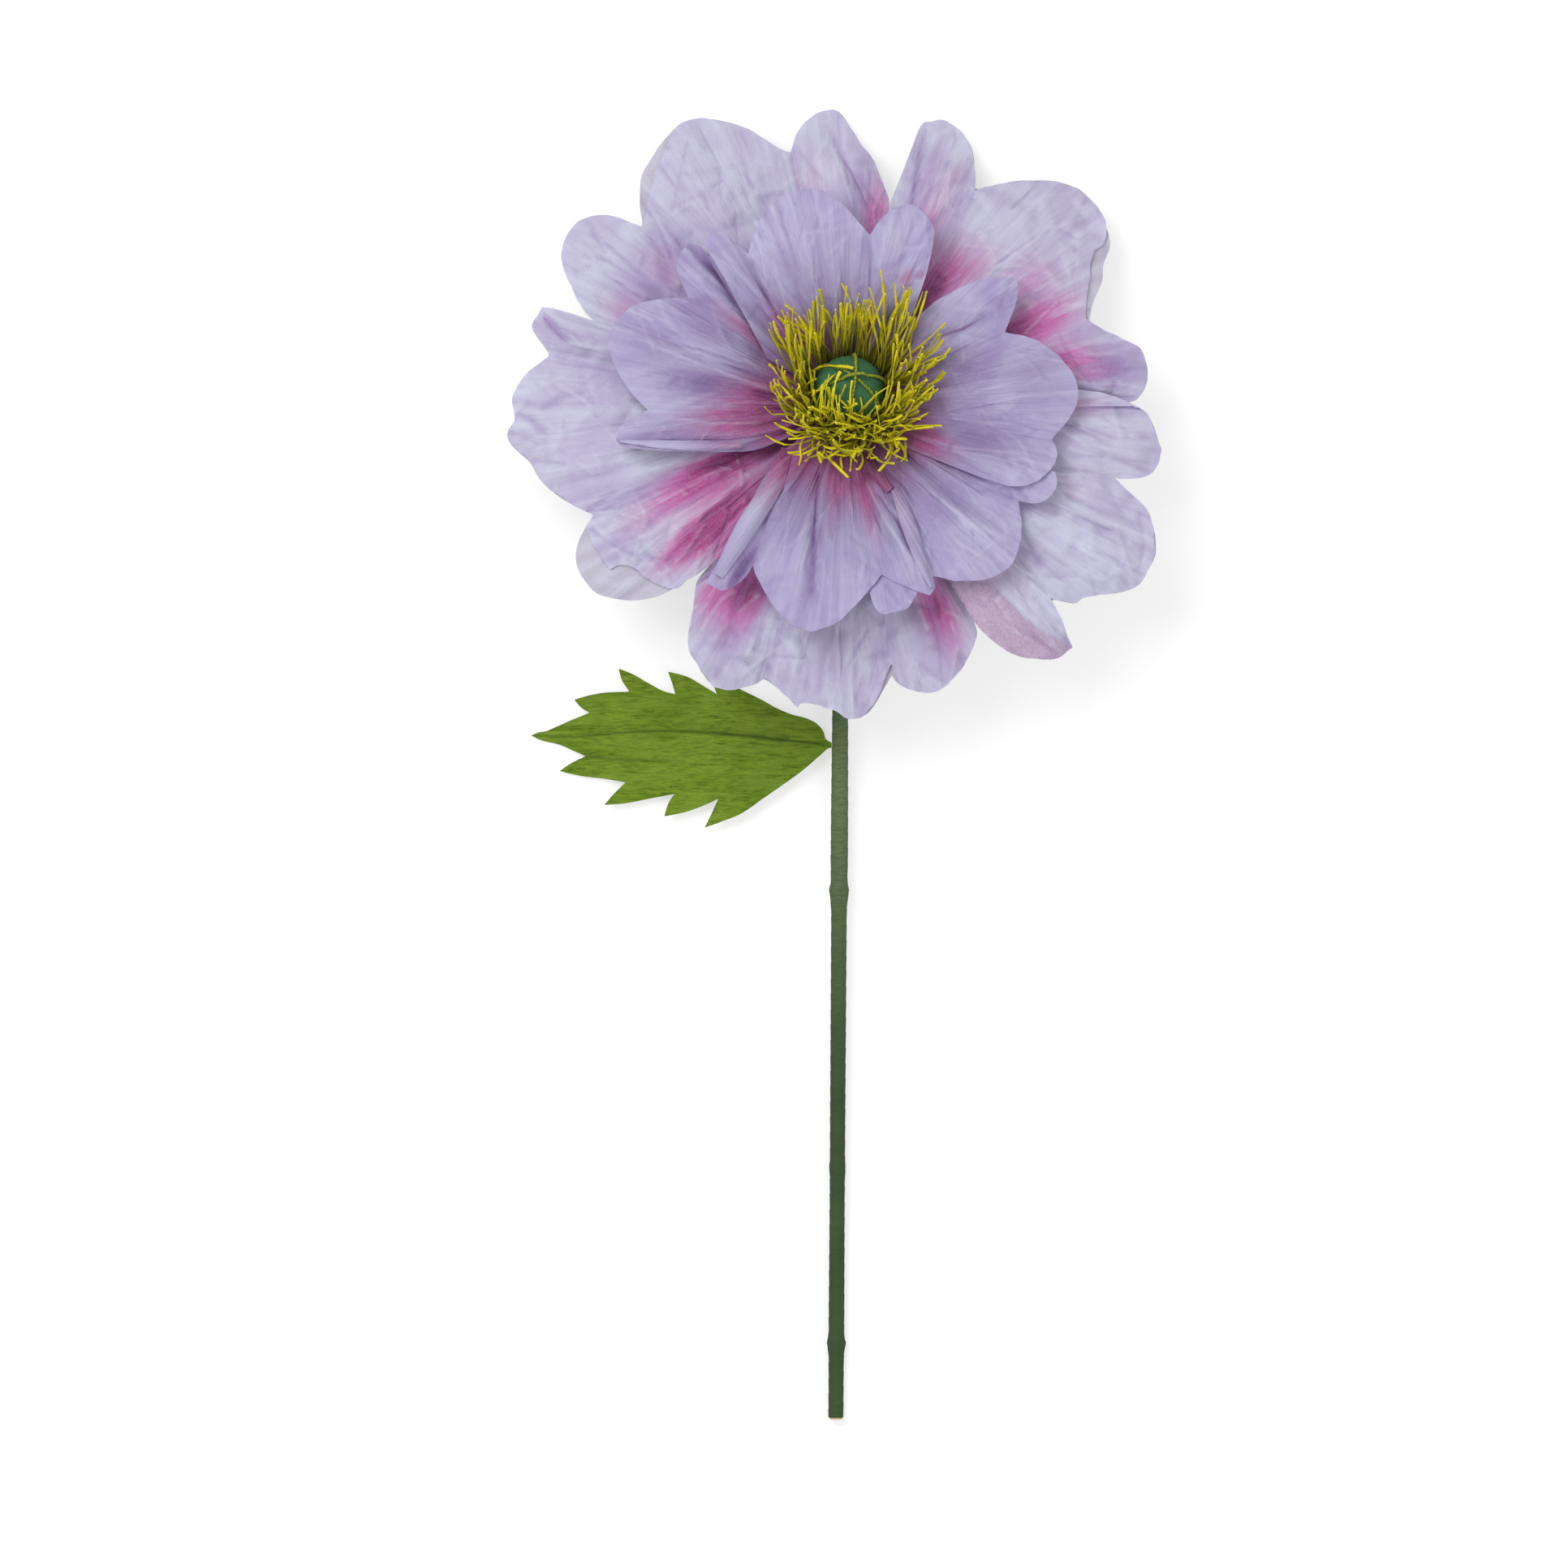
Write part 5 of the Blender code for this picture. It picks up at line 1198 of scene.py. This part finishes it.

# Each inner sheet, in mm from the pod: strokes of its edge, corners between its lobes, their crests, its
# depth in the ring, its folds and grooves, its patches of dye, of painted shade and of painted light, and its
# pressed pleats
INNER_PETALS = {
    "inner_petal_top": dict(
        strokes=[[(-50, 20), (-62, 42), (-76, 68), (-90, 92)],
                 [(-90, 92), (-85, 98), (-79, 98), (-69, 90), (-62, 84)],
                 [(-62, 84), (-59, 95), (-51, 111), (-40, 121), (-26, 124), (-14, 122.5), (-1, 112),
                  (13, 96)],
                 [(13, 96), (20, 106), (30, 113), (40, 114), (48, 107), (52.5, 98), (49, 77), (44, 61),
                  (39, 47)]],
        corners=[(-90, 86), (-62, 84), (13, 96), (42, 56)], crests=(5, 3, 4), base_dye=0.3, depth=0,
        folds=[([(-20, 40), (-21.5, 75), (-23, 108)], 1.2, 5),
               ([(26, 55), (30, 74), (38, 97), (40, 113)], -2.0, 7), ([(13, 97), (10, 70), (6, 42)], -1.6, 9),
               ([(-62, 84), (-48, 55), (-35, 30)], -2.0, 9), ([(-10, 45), (-5, 75), (-4, 105)], 0.7, 6),
               ([(-38, 50), (-48, 85)], 0.8, 7)],
        dye=[(35, 69, 6, 4, 0.5), (45, 71, 3, 3, 0.4), (-36, 36, 22, 9, 0.5), (-20, 30, 20, 10, 0.2)],
        pale=[(30, 95, 18, 9, 0.8), (-30, 110, 14, 14, 0.2)],
        shade=[(-62, 72, 36, 4, 0.5), (-30, 60, 30, 10, 0.5), (26, 66, 24, 5, 0.5)],
        grooves=[([(-34, 28), (-50, 55), (-64, 82)], 2.6, 1.5), ([(12, 50), (13, 80), (14, 96)], 1.6, 1.2),
                 ([(-20, 40), (-21.5, 75), (-22.5, 104)], 1.0, 0.9)]),
    "inner_petal_right": dict(
        strokes=[[(40, 44), (52, 54), (62, 60), (77, 67), (90, 70), (101, 69), (104, 65), (103, 55),
                  (96, 36)],
                 [(96, 36), (110, 33), (121, 28), (132, 18), (139, 8), (141, -3), (137, -15), (125, -30)],
                 [(125, -30), (128, -38), (125, -47), (115, -56), (100, -59), (80, -53), (55, -43),
                  (35, -35)]],
        corners=[(41, 46), (96, 36), (125, -30), (90, -54)], crests=(4, 3, 3), base_dye=0.5, depth=1,
        folds=[([(55, -13), (90, -7), (119, -1)], 1.1, 5), ([(52, 25), (73, 40), (88, 50)], -2.2, 6),
               ([(70, -15), (101, -19), (120, -26)], -1.6, 7), ([(60, -35), (85, -37), (110, -38.5)], 1.2, 5),
               ([(96, 36), (72, 24), (48, 12)], -1.6, 8)],
        dye=[(48, -31, 20, 8, 0.5)],
        shade=[(115, 10, 22, 20, 0.5), (75, -28, 28, 13, 1.15), (84, 44, 30, 5, 0.5), (72, 14, 22, 10, 1.1)],
        grooves=[([(40, 28), (70, 38), (96, 52)], 2.0, 1.3), ([(44, 10), (62, 22), (84, 33)], 2.0, 1.2),
                 ([(48, -14), (80, -10), (112, -4)], 1.4, 1.0),
                 ([(50, -34), (80, -37.5), (104, -38)], 1.4, 1.1)]),
    "inner_petal_lower_right": dict(
        strokes=[[(60, -35), (110, -50), (127, -50)],
                 [(127, -50), (127, -60), (118, -69), (104, -68)],
                 [(104, -68), (106, -82), (104, -98), (98, -109), (84, -116), (66, -117), (50, -114)],
                 [(50, -114), (42, -124), (36, -134), (28, -136), (19, -137), (13, -126), (8, -100)]],
        corners=[(124, -46), (104, -68), (50, -114), (12, -124)], crests=(2, 4, 2), base_dye=0.45, depth=2,
        folds=[([(23, -45), (51, -63), (70, -79.5), (87, -92)], 3.0, 9),
               ([(104, -68), (80, -58), (55, -45)], -1.5, 8), ([(22, -118), (32, -133)], -1.5, 5),
               ([(60, -84), (75, -104)], 0.8, 6)],
        dye=[(44, -34, 24, 6, 0.6)],
        shade=[(34, -52, 22, 5, 1.1)],
        pale=[(80, -95, 24, 16, 0.5)],
        grooves=[([(6, -34), (18, -45), (34, -60), (48, -84)], 3.4, 1.6),
                 ([(22, -44), (44, -58), (66, -77)], 2.0, 1.3),
                 ([(50, -40), (76, -52), (100, -64)], 1.8, 1.1)]),
    "inner_petal_bottom": dict(
        strokes=[[(12, -40), (27, -60), (33, -64), (41, -81), (48, -103), (53, -121)],
                 [(53, -121), (50, -126)],
                 [(50, -126), (41, -123), (29, -118), (20, -113)],
                 [(20, -113), (14, -121), (3, -133), (-8, -143), (-24, -149)],
                 [(-24, -149), (-36, -143), (-48, -130), (-57, -114), (-59.5, -106.5)],
                 [(-59.5, -106.5), (-63, -114), (-70, -120), (-78, -123), (-88, -118)],
                 [(-88, -118), (-81, -106), (-71, -85), (-59, -66), (-52, -53), (-42, -38)]],
        corners=[(16, -38), (20, -113), (-60, -107), (-46, -47)], crests=(5, 4, 5), base_dye=0.65, depth=1,
        folds=[([(8.5, -52), (23, -82), (37, -101), (49, -125)], 3.6, 8),
               ([(-2, -33), (12, -46), (27, -63)], 2.6, 5),
               ([(-18, -42), (-21, -90), (-23.5, -140)], -3.2, 7), ([(-20, -75), (-27, -113)], -1.5, 5),
               ([(-40, -56), (-57, -90), (-73, -113)], -2.8, 7), ([(0, -60), (6, -105)], 1.0, 6),
               ([(-34, -60), (-42, -110)], 0.9, 6), ([(30, -75), (44, -118)], -1.6, 4)],
        pale=[(32, -106, 18, 7, 0.6)],
        dye=[(10, -66, 26, 6, 0.5), (-40, -48, 16, 6, 0.5), (-6, -58, 26, 7, 0.25)],
        shade=[(-21, -100, 44, 5, 0.9), (24, -95, 30, 9, 0.6), (-66, -110, 22, 5, 1.7)],
        pressed=[([(-4, -33), (11, -46), (25.5, -61)], (7, 9.5, 6), (1.5, 1.2), (0.2, 0.2)),
                 ([(27, -61), (33, -74), (39.5, -92), (45, -108), (50.5, -121)], (3, 8, 8.5, 6.5, 2),
                  (0.3, 0.1, 0), (0.2, -0.3)),
                 ([(-38, -36), (-47.5, -59), (-59, -78), (-71.5, -98.5), (-80.5, -114)],
                  (7, 12.5, 12.5, 11, 7), (1.5, 0.5, 0, 0, 0), (0.3, 0, -0.4, -0.2, 0.2))],
        grooves=[([(-33, -38), (-46, -66), (-60, -106)], 2.6, 1.7),
                 ([(-16, -42), (-20, -62), (-22.5, -100), (-23, -132)], 1.8, 1.6),
                 ([(-2, -44), (10, -64), (22, -92), (24, -112)], 2.2, 1.3),
                 ([(-24, -44), (-34, -62), (-40, -84)], 1.8, 1.3),
                 ([(-8, -44), (-8, -62), (-4, -84)], 1.5, 1.1),
                 ([(12, -56), (30, -82), (44, -118)], 1.8, 1.3)]),
    "inner_petal_left": dict(
        strokes=[[(-40, -30), (-61, -37), (-90, -37.5), (-118, -37), (-138, -34.5), (-144, -30)],
                 [(-144, -30), (-139, -21), (-124, -12)],
                 [(-124, -12), (-135, 0), (-143, 13), (-148, 28), (-146, 38), (-136, 50), (-120, 56),
                  (-99, 57.5)],
                 [(-99, 57.5), (-105, 72), (-106, 80), (-99, 90), (-91, 89)],
                 [(-91, 89), (-81, 74), (-68, 52), (-58, 33), (-48, 18)]],
        corners=[(-62, -38), (-124, -12), (-99.5, 58), (-90, 86)], crests=(4, 3, 5), base_dye=0.6, depth=2,
        folds=[([(-55, -29), (-100, -31), (-141, -31.5)], -1.6, 6),
               ([(-44, -1), (-96, 18), (-133, 33)], 1.3, 5), ([(-42, -8), (-62, 2), (-88, 10)], -1.3, 4),
               ([(-42, 4), (-60, 12), (-84, 24)], -1.3, 4), ([(-46, 18), (-70, 55), (-92, 88)], -5.0, 11),
               ([(-50, -20), (-85, -20), (-120, -15)], 1.2, 7),
               ([(-52, 30), (-75, 45), (-99, 57)], -1.2, 8)],
        dye=[(-66, -16, 30, 13, 0.85), (-58, 34, 26, 5, 0.8), (-60, 3, 18, 9, 0.3)],
        shade=[(-78, 70, 32, 7, 1.25), (-84, 4, 30, 12, 1.25), (-110, -28, 34, 8, 0.9),
               (-84, 40, 30, 12, 0.9), (-122, 30, 26, 16, 0.45)],
        pressed=[([(-48, 26), (-60, 44), (-73, 65), (-85, 84)], (2.5, 5, 6, 5), (0.5, 0), (0.9, 0.6)),
                 ([(-141, -31), (-118, -33), (-90, -34), (-66, -34)], (1.5, 5, 6.5, 3), (0, 0, 0.5),
                  (-0.3, -0.3, 0.3))],
        grooves=[([(-42, 16), (-58, 40), (-80, 72), (-92, 90)], 3.0, 1.7),
                 ([(-44, 4), (-64, 12), (-90, 21)], 1.8, 1.5), ([(-44, -4), (-66, 0), (-92, 7)], 1.8, 1.5),
                 ([(-42, -26), (-72, -30), (-112, -31)], 1.6, 1.4),
                 ([(-44, -14), (-72, -18), (-104, -20)], 1.6, 1.2),
                 ([(-50, 10), (-90, 25), (-132, 33)], 1.1, 0.9)]),
}

for petal in INNER_PETALS.values():
    inner_ring.add_lobes(petal["corners"], petal["crests"])
for order, (name, petal) in enumerate(INNER_PETALS.items()):
    petal_sheet(name + "_sheet", inner_ring, petal["depth"], petal["strokes"], petal["folds"], petal["dye"],
                lilac, name, 30 + order, base_dye=petal["base_dye"], shade=petal["shade"],
                pale=petal.get("pale", ()), grooves=petal["grooves"], pressed=petal.get("pressed", ()))


# Outer petals
# Five larger sheets of paler tissue behind the inner ring, each with three lobes and more
# crumpled. Each is laid over a second, almost undyed sheet that shows beyond its edge in places.
pale_lilac = tissue("pale_lilac_tissue", painted(226, 230, 244), painted(208, 202, 228),
                    painted(180, 158, 204), painted(132, 96, 158), painted(212, 114, 184),
                    painted(186, 56, 140), 0.32, 0.9)
undyed = tissue("undyed_tissue", painted(219, 219, 230), painted(210, 206, 220), painted(198, 188, 210),
                painted(176, 160, 190), painted(206, 158, 194), painted(170, 86, 138), 0.35, 0.9)
outer_ring = PetalRing(5.0, [(5, -6), (7.5, 0), (14, 6), (30, 13), (60, 22), (100, 29), (140, 28),
                             (175, 20), (212, 6)], 2 * CLAW_SPACING, 6.2, True, 2.2, 112, 2.5)

# Each outer sheet, as the inner ones. A backing has its sheet's strokes, but for those given by number,
# where an empty one means that the stroke before it runs on past its place
OUTER_PETALS = {
    "outer_petal_upper_left": dict(
        strokes=[[(-120, 20), (-157, 43), (-170, 63), (-177, 81), (-173, 98), (-160, 108), (-145, 108),
                  (-127, 101)],
                 [(-127, 101), (-125, 112), (-122, 125), (-117, 140), (-109, 158), (-102, 167), (-84, 168),
                  (-64, 163), (-50, 154), (-36, 146)],
                 [(-36, 146), (-31, 161), (-21, 171), (-10, 174), (-5, 171), (2, 161), (8, 152), (15, 143),
                  (22, 125), (25, 114), (20, 80)]],
        backing={1: [(-127, 101), (-129, 122), (-127, 135), (-116, 152), (-102, 167), (-84, 168), (-64, 163),
                     (-50, 154), (-36, 146)]},
        corners=[(-146, 36), (-128, 101.5), (-36.5, 146.5), (23, 106)], crests=(4, 3, 5), depth=2,
        folds=[([(-72, 92), (-95, 135), (-112, 155)], 1.8, 9), ([(20, 112), (2, 138), (-15, 166)], -2.2, 8),
               ([(-122, 54), (-151, 74), (-165, 84)], 1.4, 7),
               ([(-127, 101), (-108, 75), (-88, 52)], -2.2, 9), ([(-36, 146), (-30, 118)], -1.6, 8),
               ([(-60, 110), (-72, 150)], -1.1, 8), ([(-110, 108), (-98, 160)], -1.5, 6)],
        pale=[(-85, 140, 26, 24, 0.5), (-60, 118, 22, 16, 0.7), (-12, 152, 16, 10, 0.3)],
        dye=[(16, 106, 24, 8, 0.7), (-108, 72, 24, 12, 0.2), (-132, 46, 20, 9, 0.4),
             (-20, 128, 22, 16, 0.14)],
        shade=[(-122, 60, 24, 16, 1.25), (8, 124, 30, 9, 1.0), (-104, 84, 22, 11, 1.1)],
        grooves=[([(-116, 50), (-138, 64), (-160, 80)], 1.8, 1.3),
                 ([(14, 108), (2, 134), (-14, 160)], 2.0, 1.4)]),
    "outer_petal_upper_right": dict(
        strokes=[[(18, 85), (25, 114), (31, 130), (38, 148), (45, 165), (52, 167), (60, 167), (69, 161),
                  (76, 149), (78, 137), (78, 124)],
                 [(78, 124), (90, 127.5), (108, 130), (125, 130), (141, 125), (152, 115), (159, 102),
                  (157, 91), (151, 87), (149, 80), (148, 70), (146, 55), (145, 45), (148, 43)],
                 [(148, 43), (157, 38), (169, 32), (179, 26), (184, 13), (181, 0), (172, -7), (140, -8)]],
        backing={1: [(78, 124), (90, 127.5), (108, 130), (125, 130), (141, 125), (152, 115), (159, 102),
                     (161, 90), (157, 78), (156, 68), (150, 53), (148, 43)]},
        corners=[(24, 108), (78, 124), (148, 43), (165, -12)], crests=(5, 3, 4), depth=1,
        folds=[([(37, 105), (43, 140), (48, 165)], -3.0, 7), ([(85, 72), (128, 105)], 1.6, 8),
               ([(127, 101), (140, 118)], -1.4, 5), ([(127, 101), (118, 120)], 1.4, 5),
               ([(127, 101), (145, 92)], -1.4, 5), ([(137, 14), (155, 17), (172, 18)], -2.8, 6),
               ([(138, 6), (165, 4)], 2.2, 5), ([(143, 27), (172, 28)], -1.8, 5),
               ([(78, 124), (66, 98), (56, 70)], -2.2, 9), ([(60, 110), (64, 160)], 1.2, 6)],
        pale=[(115, 105, 26, 24, 0.5)],
        dye=[(52, 66, 26, 13, 1.0), (76, 74, 22, 8, 0.35), (108, 38, 30, 11, 1.2), (132, 20, 18, 9, 0.85),
             (148, 12, 14, 6, 0.4), (98, 60, 26, 12, 0.25), (42, 92, 20, 8, 0.8), (60, 130, 24, 14, 0.2),
             (118, 66, 24, 20, 0.14)],
        shade=[(46, 122, 34, 7, 0.9), (160, 14, 28, 16, 1.4), (66, 108, 26, 10, 0.6),
               (150, 38, 26, 9, 0.75)],
        grooves=[([(126, 22), (150, 20), (176, 19)], 1.8, 1.5), ([(126, 10), (148, 6), (170, 2)], 1.8, 1.3),
                 ([(36, 100), (41, 130), (46, 158)], 2.0, 1.4),
                 ([(88, 76), (110, 92), (132, 106)], 1.4, 1.0)]),
    "outer_petal_lower_right": dict(
        strokes=[[(125, 8), (141, 1), (155, -1), (172, -7), (184, -15), (190, -30), (192, -39), (184, -52),
                  (167, -54), (162, -52)],
                 [(162, -52), (171, -61), (184, -74), (188, -90), (187, -104), (177, -120), (160, -125),
                  (144, -127), (139, -131), (124, -128)],
                 [(124, -128), (131, -141), (134, -150), (138, -158)],
                 [(138, -158), (124, -165), (104, -163), (90, -155), (77, -142), (63, -117)]],
        corners=[(138, 3), (161.5, -52), (124, -128), (66, -122)], crests=(3, 4, 5), depth=0,
        folds=[([(130, -17), (150, -24), (168, -31)], -2.6, 7),
               ([(100, -67), (125, -75), (152, -81)], -1.4, 8),
               ([(162, -52), (135, -48), (108, -42)], -1.8, 8),
               ([(124, -128), (105, -104), (88, -84)], -2.0, 9),
               ([(178, -72), (182, -95), (176, -116)], -1.6, 4), ([(150, -118), (182, -104)], 1.2, 4),
               ([(90, -90), (124, -118)], 1.0, 7), ([(140, -60), (176, -80)], 1.0, 6)],
        pale=[(160, -28, 22, 16, 0.9), (170, -95, 24, 18, 0.9), (105, -122, 26, 14, 1.0)],
        dye=[(132, -10, 26, 8, 0.3), (96, -108, 24, 14, 0.14), (134, -58, 22, 8, 0.14),
             (80, -112, 14, 7, 0.3)],
        shade=[(130, -24, 18, 8, 0.6), (118, -66, 22, 8, 0.25)],
        grooves=[([(126, -18), (146, -26), (166, -36)], 2.2, 1.2)],
        turned_back=[(70, -108), (81, -117), (93, -125), (107, -139), (121, -150), (138, -157)]),
    "outer_petal_bottom": dict(
        strokes=[[(68, -118), (77, -142), (78, -153), (71, -168), (60, -181), (50, -186), (36, -183),
                  (30, -178), (26, -168)],
                 [(26, -168), (22, -178), (18, -188), (9, -199), (0, -202), (-8, -197), (-20, -193),
                  (-29, -192), (-32, -195)],
                 [(-32, -195), (-43, -184), (-52, -177)],
                 [(-52, -177), (-61, -182), (-76, -184), (-85, -180), (-95, -165), (-99, -153), (-96, -135),
                  (-93, -117), (-84, -106), (-60, -75)]],
        backing={0: [(68, -118), (77, -142), (78, -153), (71, -168), (60, -181), (50, -186), (36, -183),
                     (27, -177), (27, -174)],
                 1: [(27, -174), (21, -184), (12, -198), (0, -202), (-8, -197), (-20, -193), (-29, -192),
                     (-32, -195)]},
        corners=[(62, -112), (27.5, -174), (-52, -176.5), (-82, -102)], crests=(4, 3, 4), depth=2,
        folds=[([(46, -122), (52, -140), (58, -165)], -3.2, 7),
               ([(-8, -140), (-6, -165), (-5, -196)], 1.8, 4), ([(2, -145), (4, -172), (4, -198)], -1.8, 4),
               ([(-58, -112), (-70, -138), (-79, -165)], -3.2, 8), ([(-14, -150), (-20, -190)], -1.2, 5),
               ([(-52, -177), (-42, -150), (-34, -125)], -2.0, 8), ([(-40, -150), (-30, -188)], 1.0, 5),
               ([(62, -140), (68, -165)], 1.2, 5), ([(-86, -130), (-92, -158)], 1.2, 5)],
        dye=[(53, -131, 25, 11, 1.0), (-63, -124, 24, 12, 1.15), (-82, -124, 18, 10, 0.75),
             (10, -150, 16, 12, 0.12)],
        shade=[(54, -150, 30, 13, 1.0), (-70, -140, 30, 16, 1.1), (-14, -160, 30, 8, 0.5),
               (24, -150, 26, 6, 0.7)],
        grooves=[([(51, -122), (54, -140), (60, -165)], 2.2, 1.6),
                 ([(-60, -112), (-70, -134), (-78, -158)], 2.4, 1.6),
                 ([(-6, -142), (-5, -165), (-5, -192)], 1.4, 1.2)]),
    "outer_petal_left": dict(
        strokes=[[(-60, -85), (-84, -106), (-100, -117), (-108, -122), (-125, -115), (-134, -108),
                  (-141, -107), (-147, -110)],
                 [(-147, -110), (-154, -99), (-161, -86), (-157, -76)],
                 [(-157, -76), (-170, -70), (-188, -57), (-196, -44), (-207, -34), (-210, -26), (-206, -17),
                  (-207, -4), (-200, 9), (-184, 22)],
                 [(-184, 22), (-190, 31), (-196, 40), (-192, 47), (-189, 52)],
                 [(-189, 52), (-178, 50), (-157, 43), (-120, 30)]],
        backing={0: [(-60, -85), (-84, -106), (-100, -117), (-119, -127), (-137, -129), (-156, -124),
                     (-167, -108), (-166, -92), (-157, -76)], 1: []},
        corners=[(-82, -103), (-157, -76), (-184, 21), (-144, 37)], crests=(4, 3, 6), depth=1,
        folds=[([(-47, -37), (-95, -70), (-141, -99)], 1.8, 5),
               ([(-139, -98), (-124, -84), (-108, -66)], -1.8, 5), ([(-141, -98), (-161, -84)], -1.6, 4),
               ([(-137, -99), (-106, -107)], -1.6, 4), ([(-206, -12), (-196, -19), (-184, -29)], -2.6, 5),
               ([(-189, 51), (-181, 40), (-172, 28)], -3.2, 6),
               ([(-157, -76), (-128, -62), (-96, -48)], -2.2, 8),
               ([(-184, 22), (-160, 16), (-135, 10)], -1.8, 8), ([(-150, -45), (-195, -50)], 1.0, 7),
               ([(-120, -40), (-160, -55)], -1.0, 7), ([(-100, -50), (-75, -42)], -1.2, 5),
               ([(-110, -75), (-70, -55)], -1.2, 5), ([(-100, -88), (-66, -62)], -1.2, 5)],
        dye=[(-80, -48, 34, 11, 1.3), (-76, -76, 32, 11, 1.4), (-96, -92, 22, 9, 0.8),
             (-100, -62, 24, 9, 0.4), (-66, -92, 24, 9, 1.1), (-125, -78, 22, 12, 0.2)],
        shade=[(-128, -60, 34, 12, 0.5), (-178, 34, 20, 10, 0.7), (-140, -96, 16, 10, 0.5),
               (-150, 0, 30, 10, 0.3)],
        grooves=[([(-62, -42), (-84, -58), (-106, -70)], 1.8, 1.2),
                 ([(-56, -62), (-76, -84), (-92, -104)], 2.0, 1.3),
                 ([(-54, -44), (-90, -46), (-120, -50)], 1.8, 1.2),
                 ([(-190, 48), (-180, 36), (-168, 24)], 2.0, 1.4)]),
}

for petal in OUTER_PETALS.values():
    outer_ring.add_lobes(petal["corners"], petal["crests"])
for order, (name, petal) in enumerate(OUTER_PETALS.items()):
    petal_sheet(name + "_sheet", outer_ring, petal["depth"], petal["strokes"], petal["folds"], petal["dye"],
                pale_lilac, name, 50 + order, turned_back=petal.get("turned_back"),
                shade=petal["shade"], pale=petal.get("pale", ()), grooves=petal["grooves"])
    backing = [petal.get("backing", {}).get(k, stroke) for k, stroke in enumerate(petal["strokes"])]
    petal_sheet(name + "_backing_sheet", outer_ring, petal["depth"], [stroke for stroke in backing if stroke],
                petal["folds"], [], undyed, name + "_backing", 50 + order, is_backing=True,
                base_dye=0.3, front=petal["strokes"])


# Petal tie
# A soft steel wire wound three times round the gathered claws and twisted off, which holds all
# fifteen sheets to the neck.
TIE_RADIUS = 11.4 * mm
TIE_WIRE = 0.7 * mm
TIE_HEIGHT = -11.5 * mm
TIE_TURNS = 3
across = HEAD_AXIS.orthogonal().normalized()
beside = HEAD_AXIS.cross(across)
coil = []
for angle in np.linspace(0, 2 * math.pi * TIE_TURNS, 40 * TIE_TURNS):
    rise = TIE_HEIGHT + (angle / (2 * math.pi) - 0.5) * 2 * TIE_WIRE
    outwards = across * math.cos(angle) + beside * math.sin(angle)
    coil.append(GATHER + HEAD_AXIS * rise + outwards * TIE_RADIUS)
tie_path = path_mesh("tie_path", [coil], [[TIE_WIRE] * len(coil)], [0.0])
tie = made_by(twisted_crepe, tie_path, "petal_tie_coil", {"Flatness": 1.0, "Sides": 12, "Crepe": wire_steel})
outward(tie)
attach(tie, "root")
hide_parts("petal_tie")
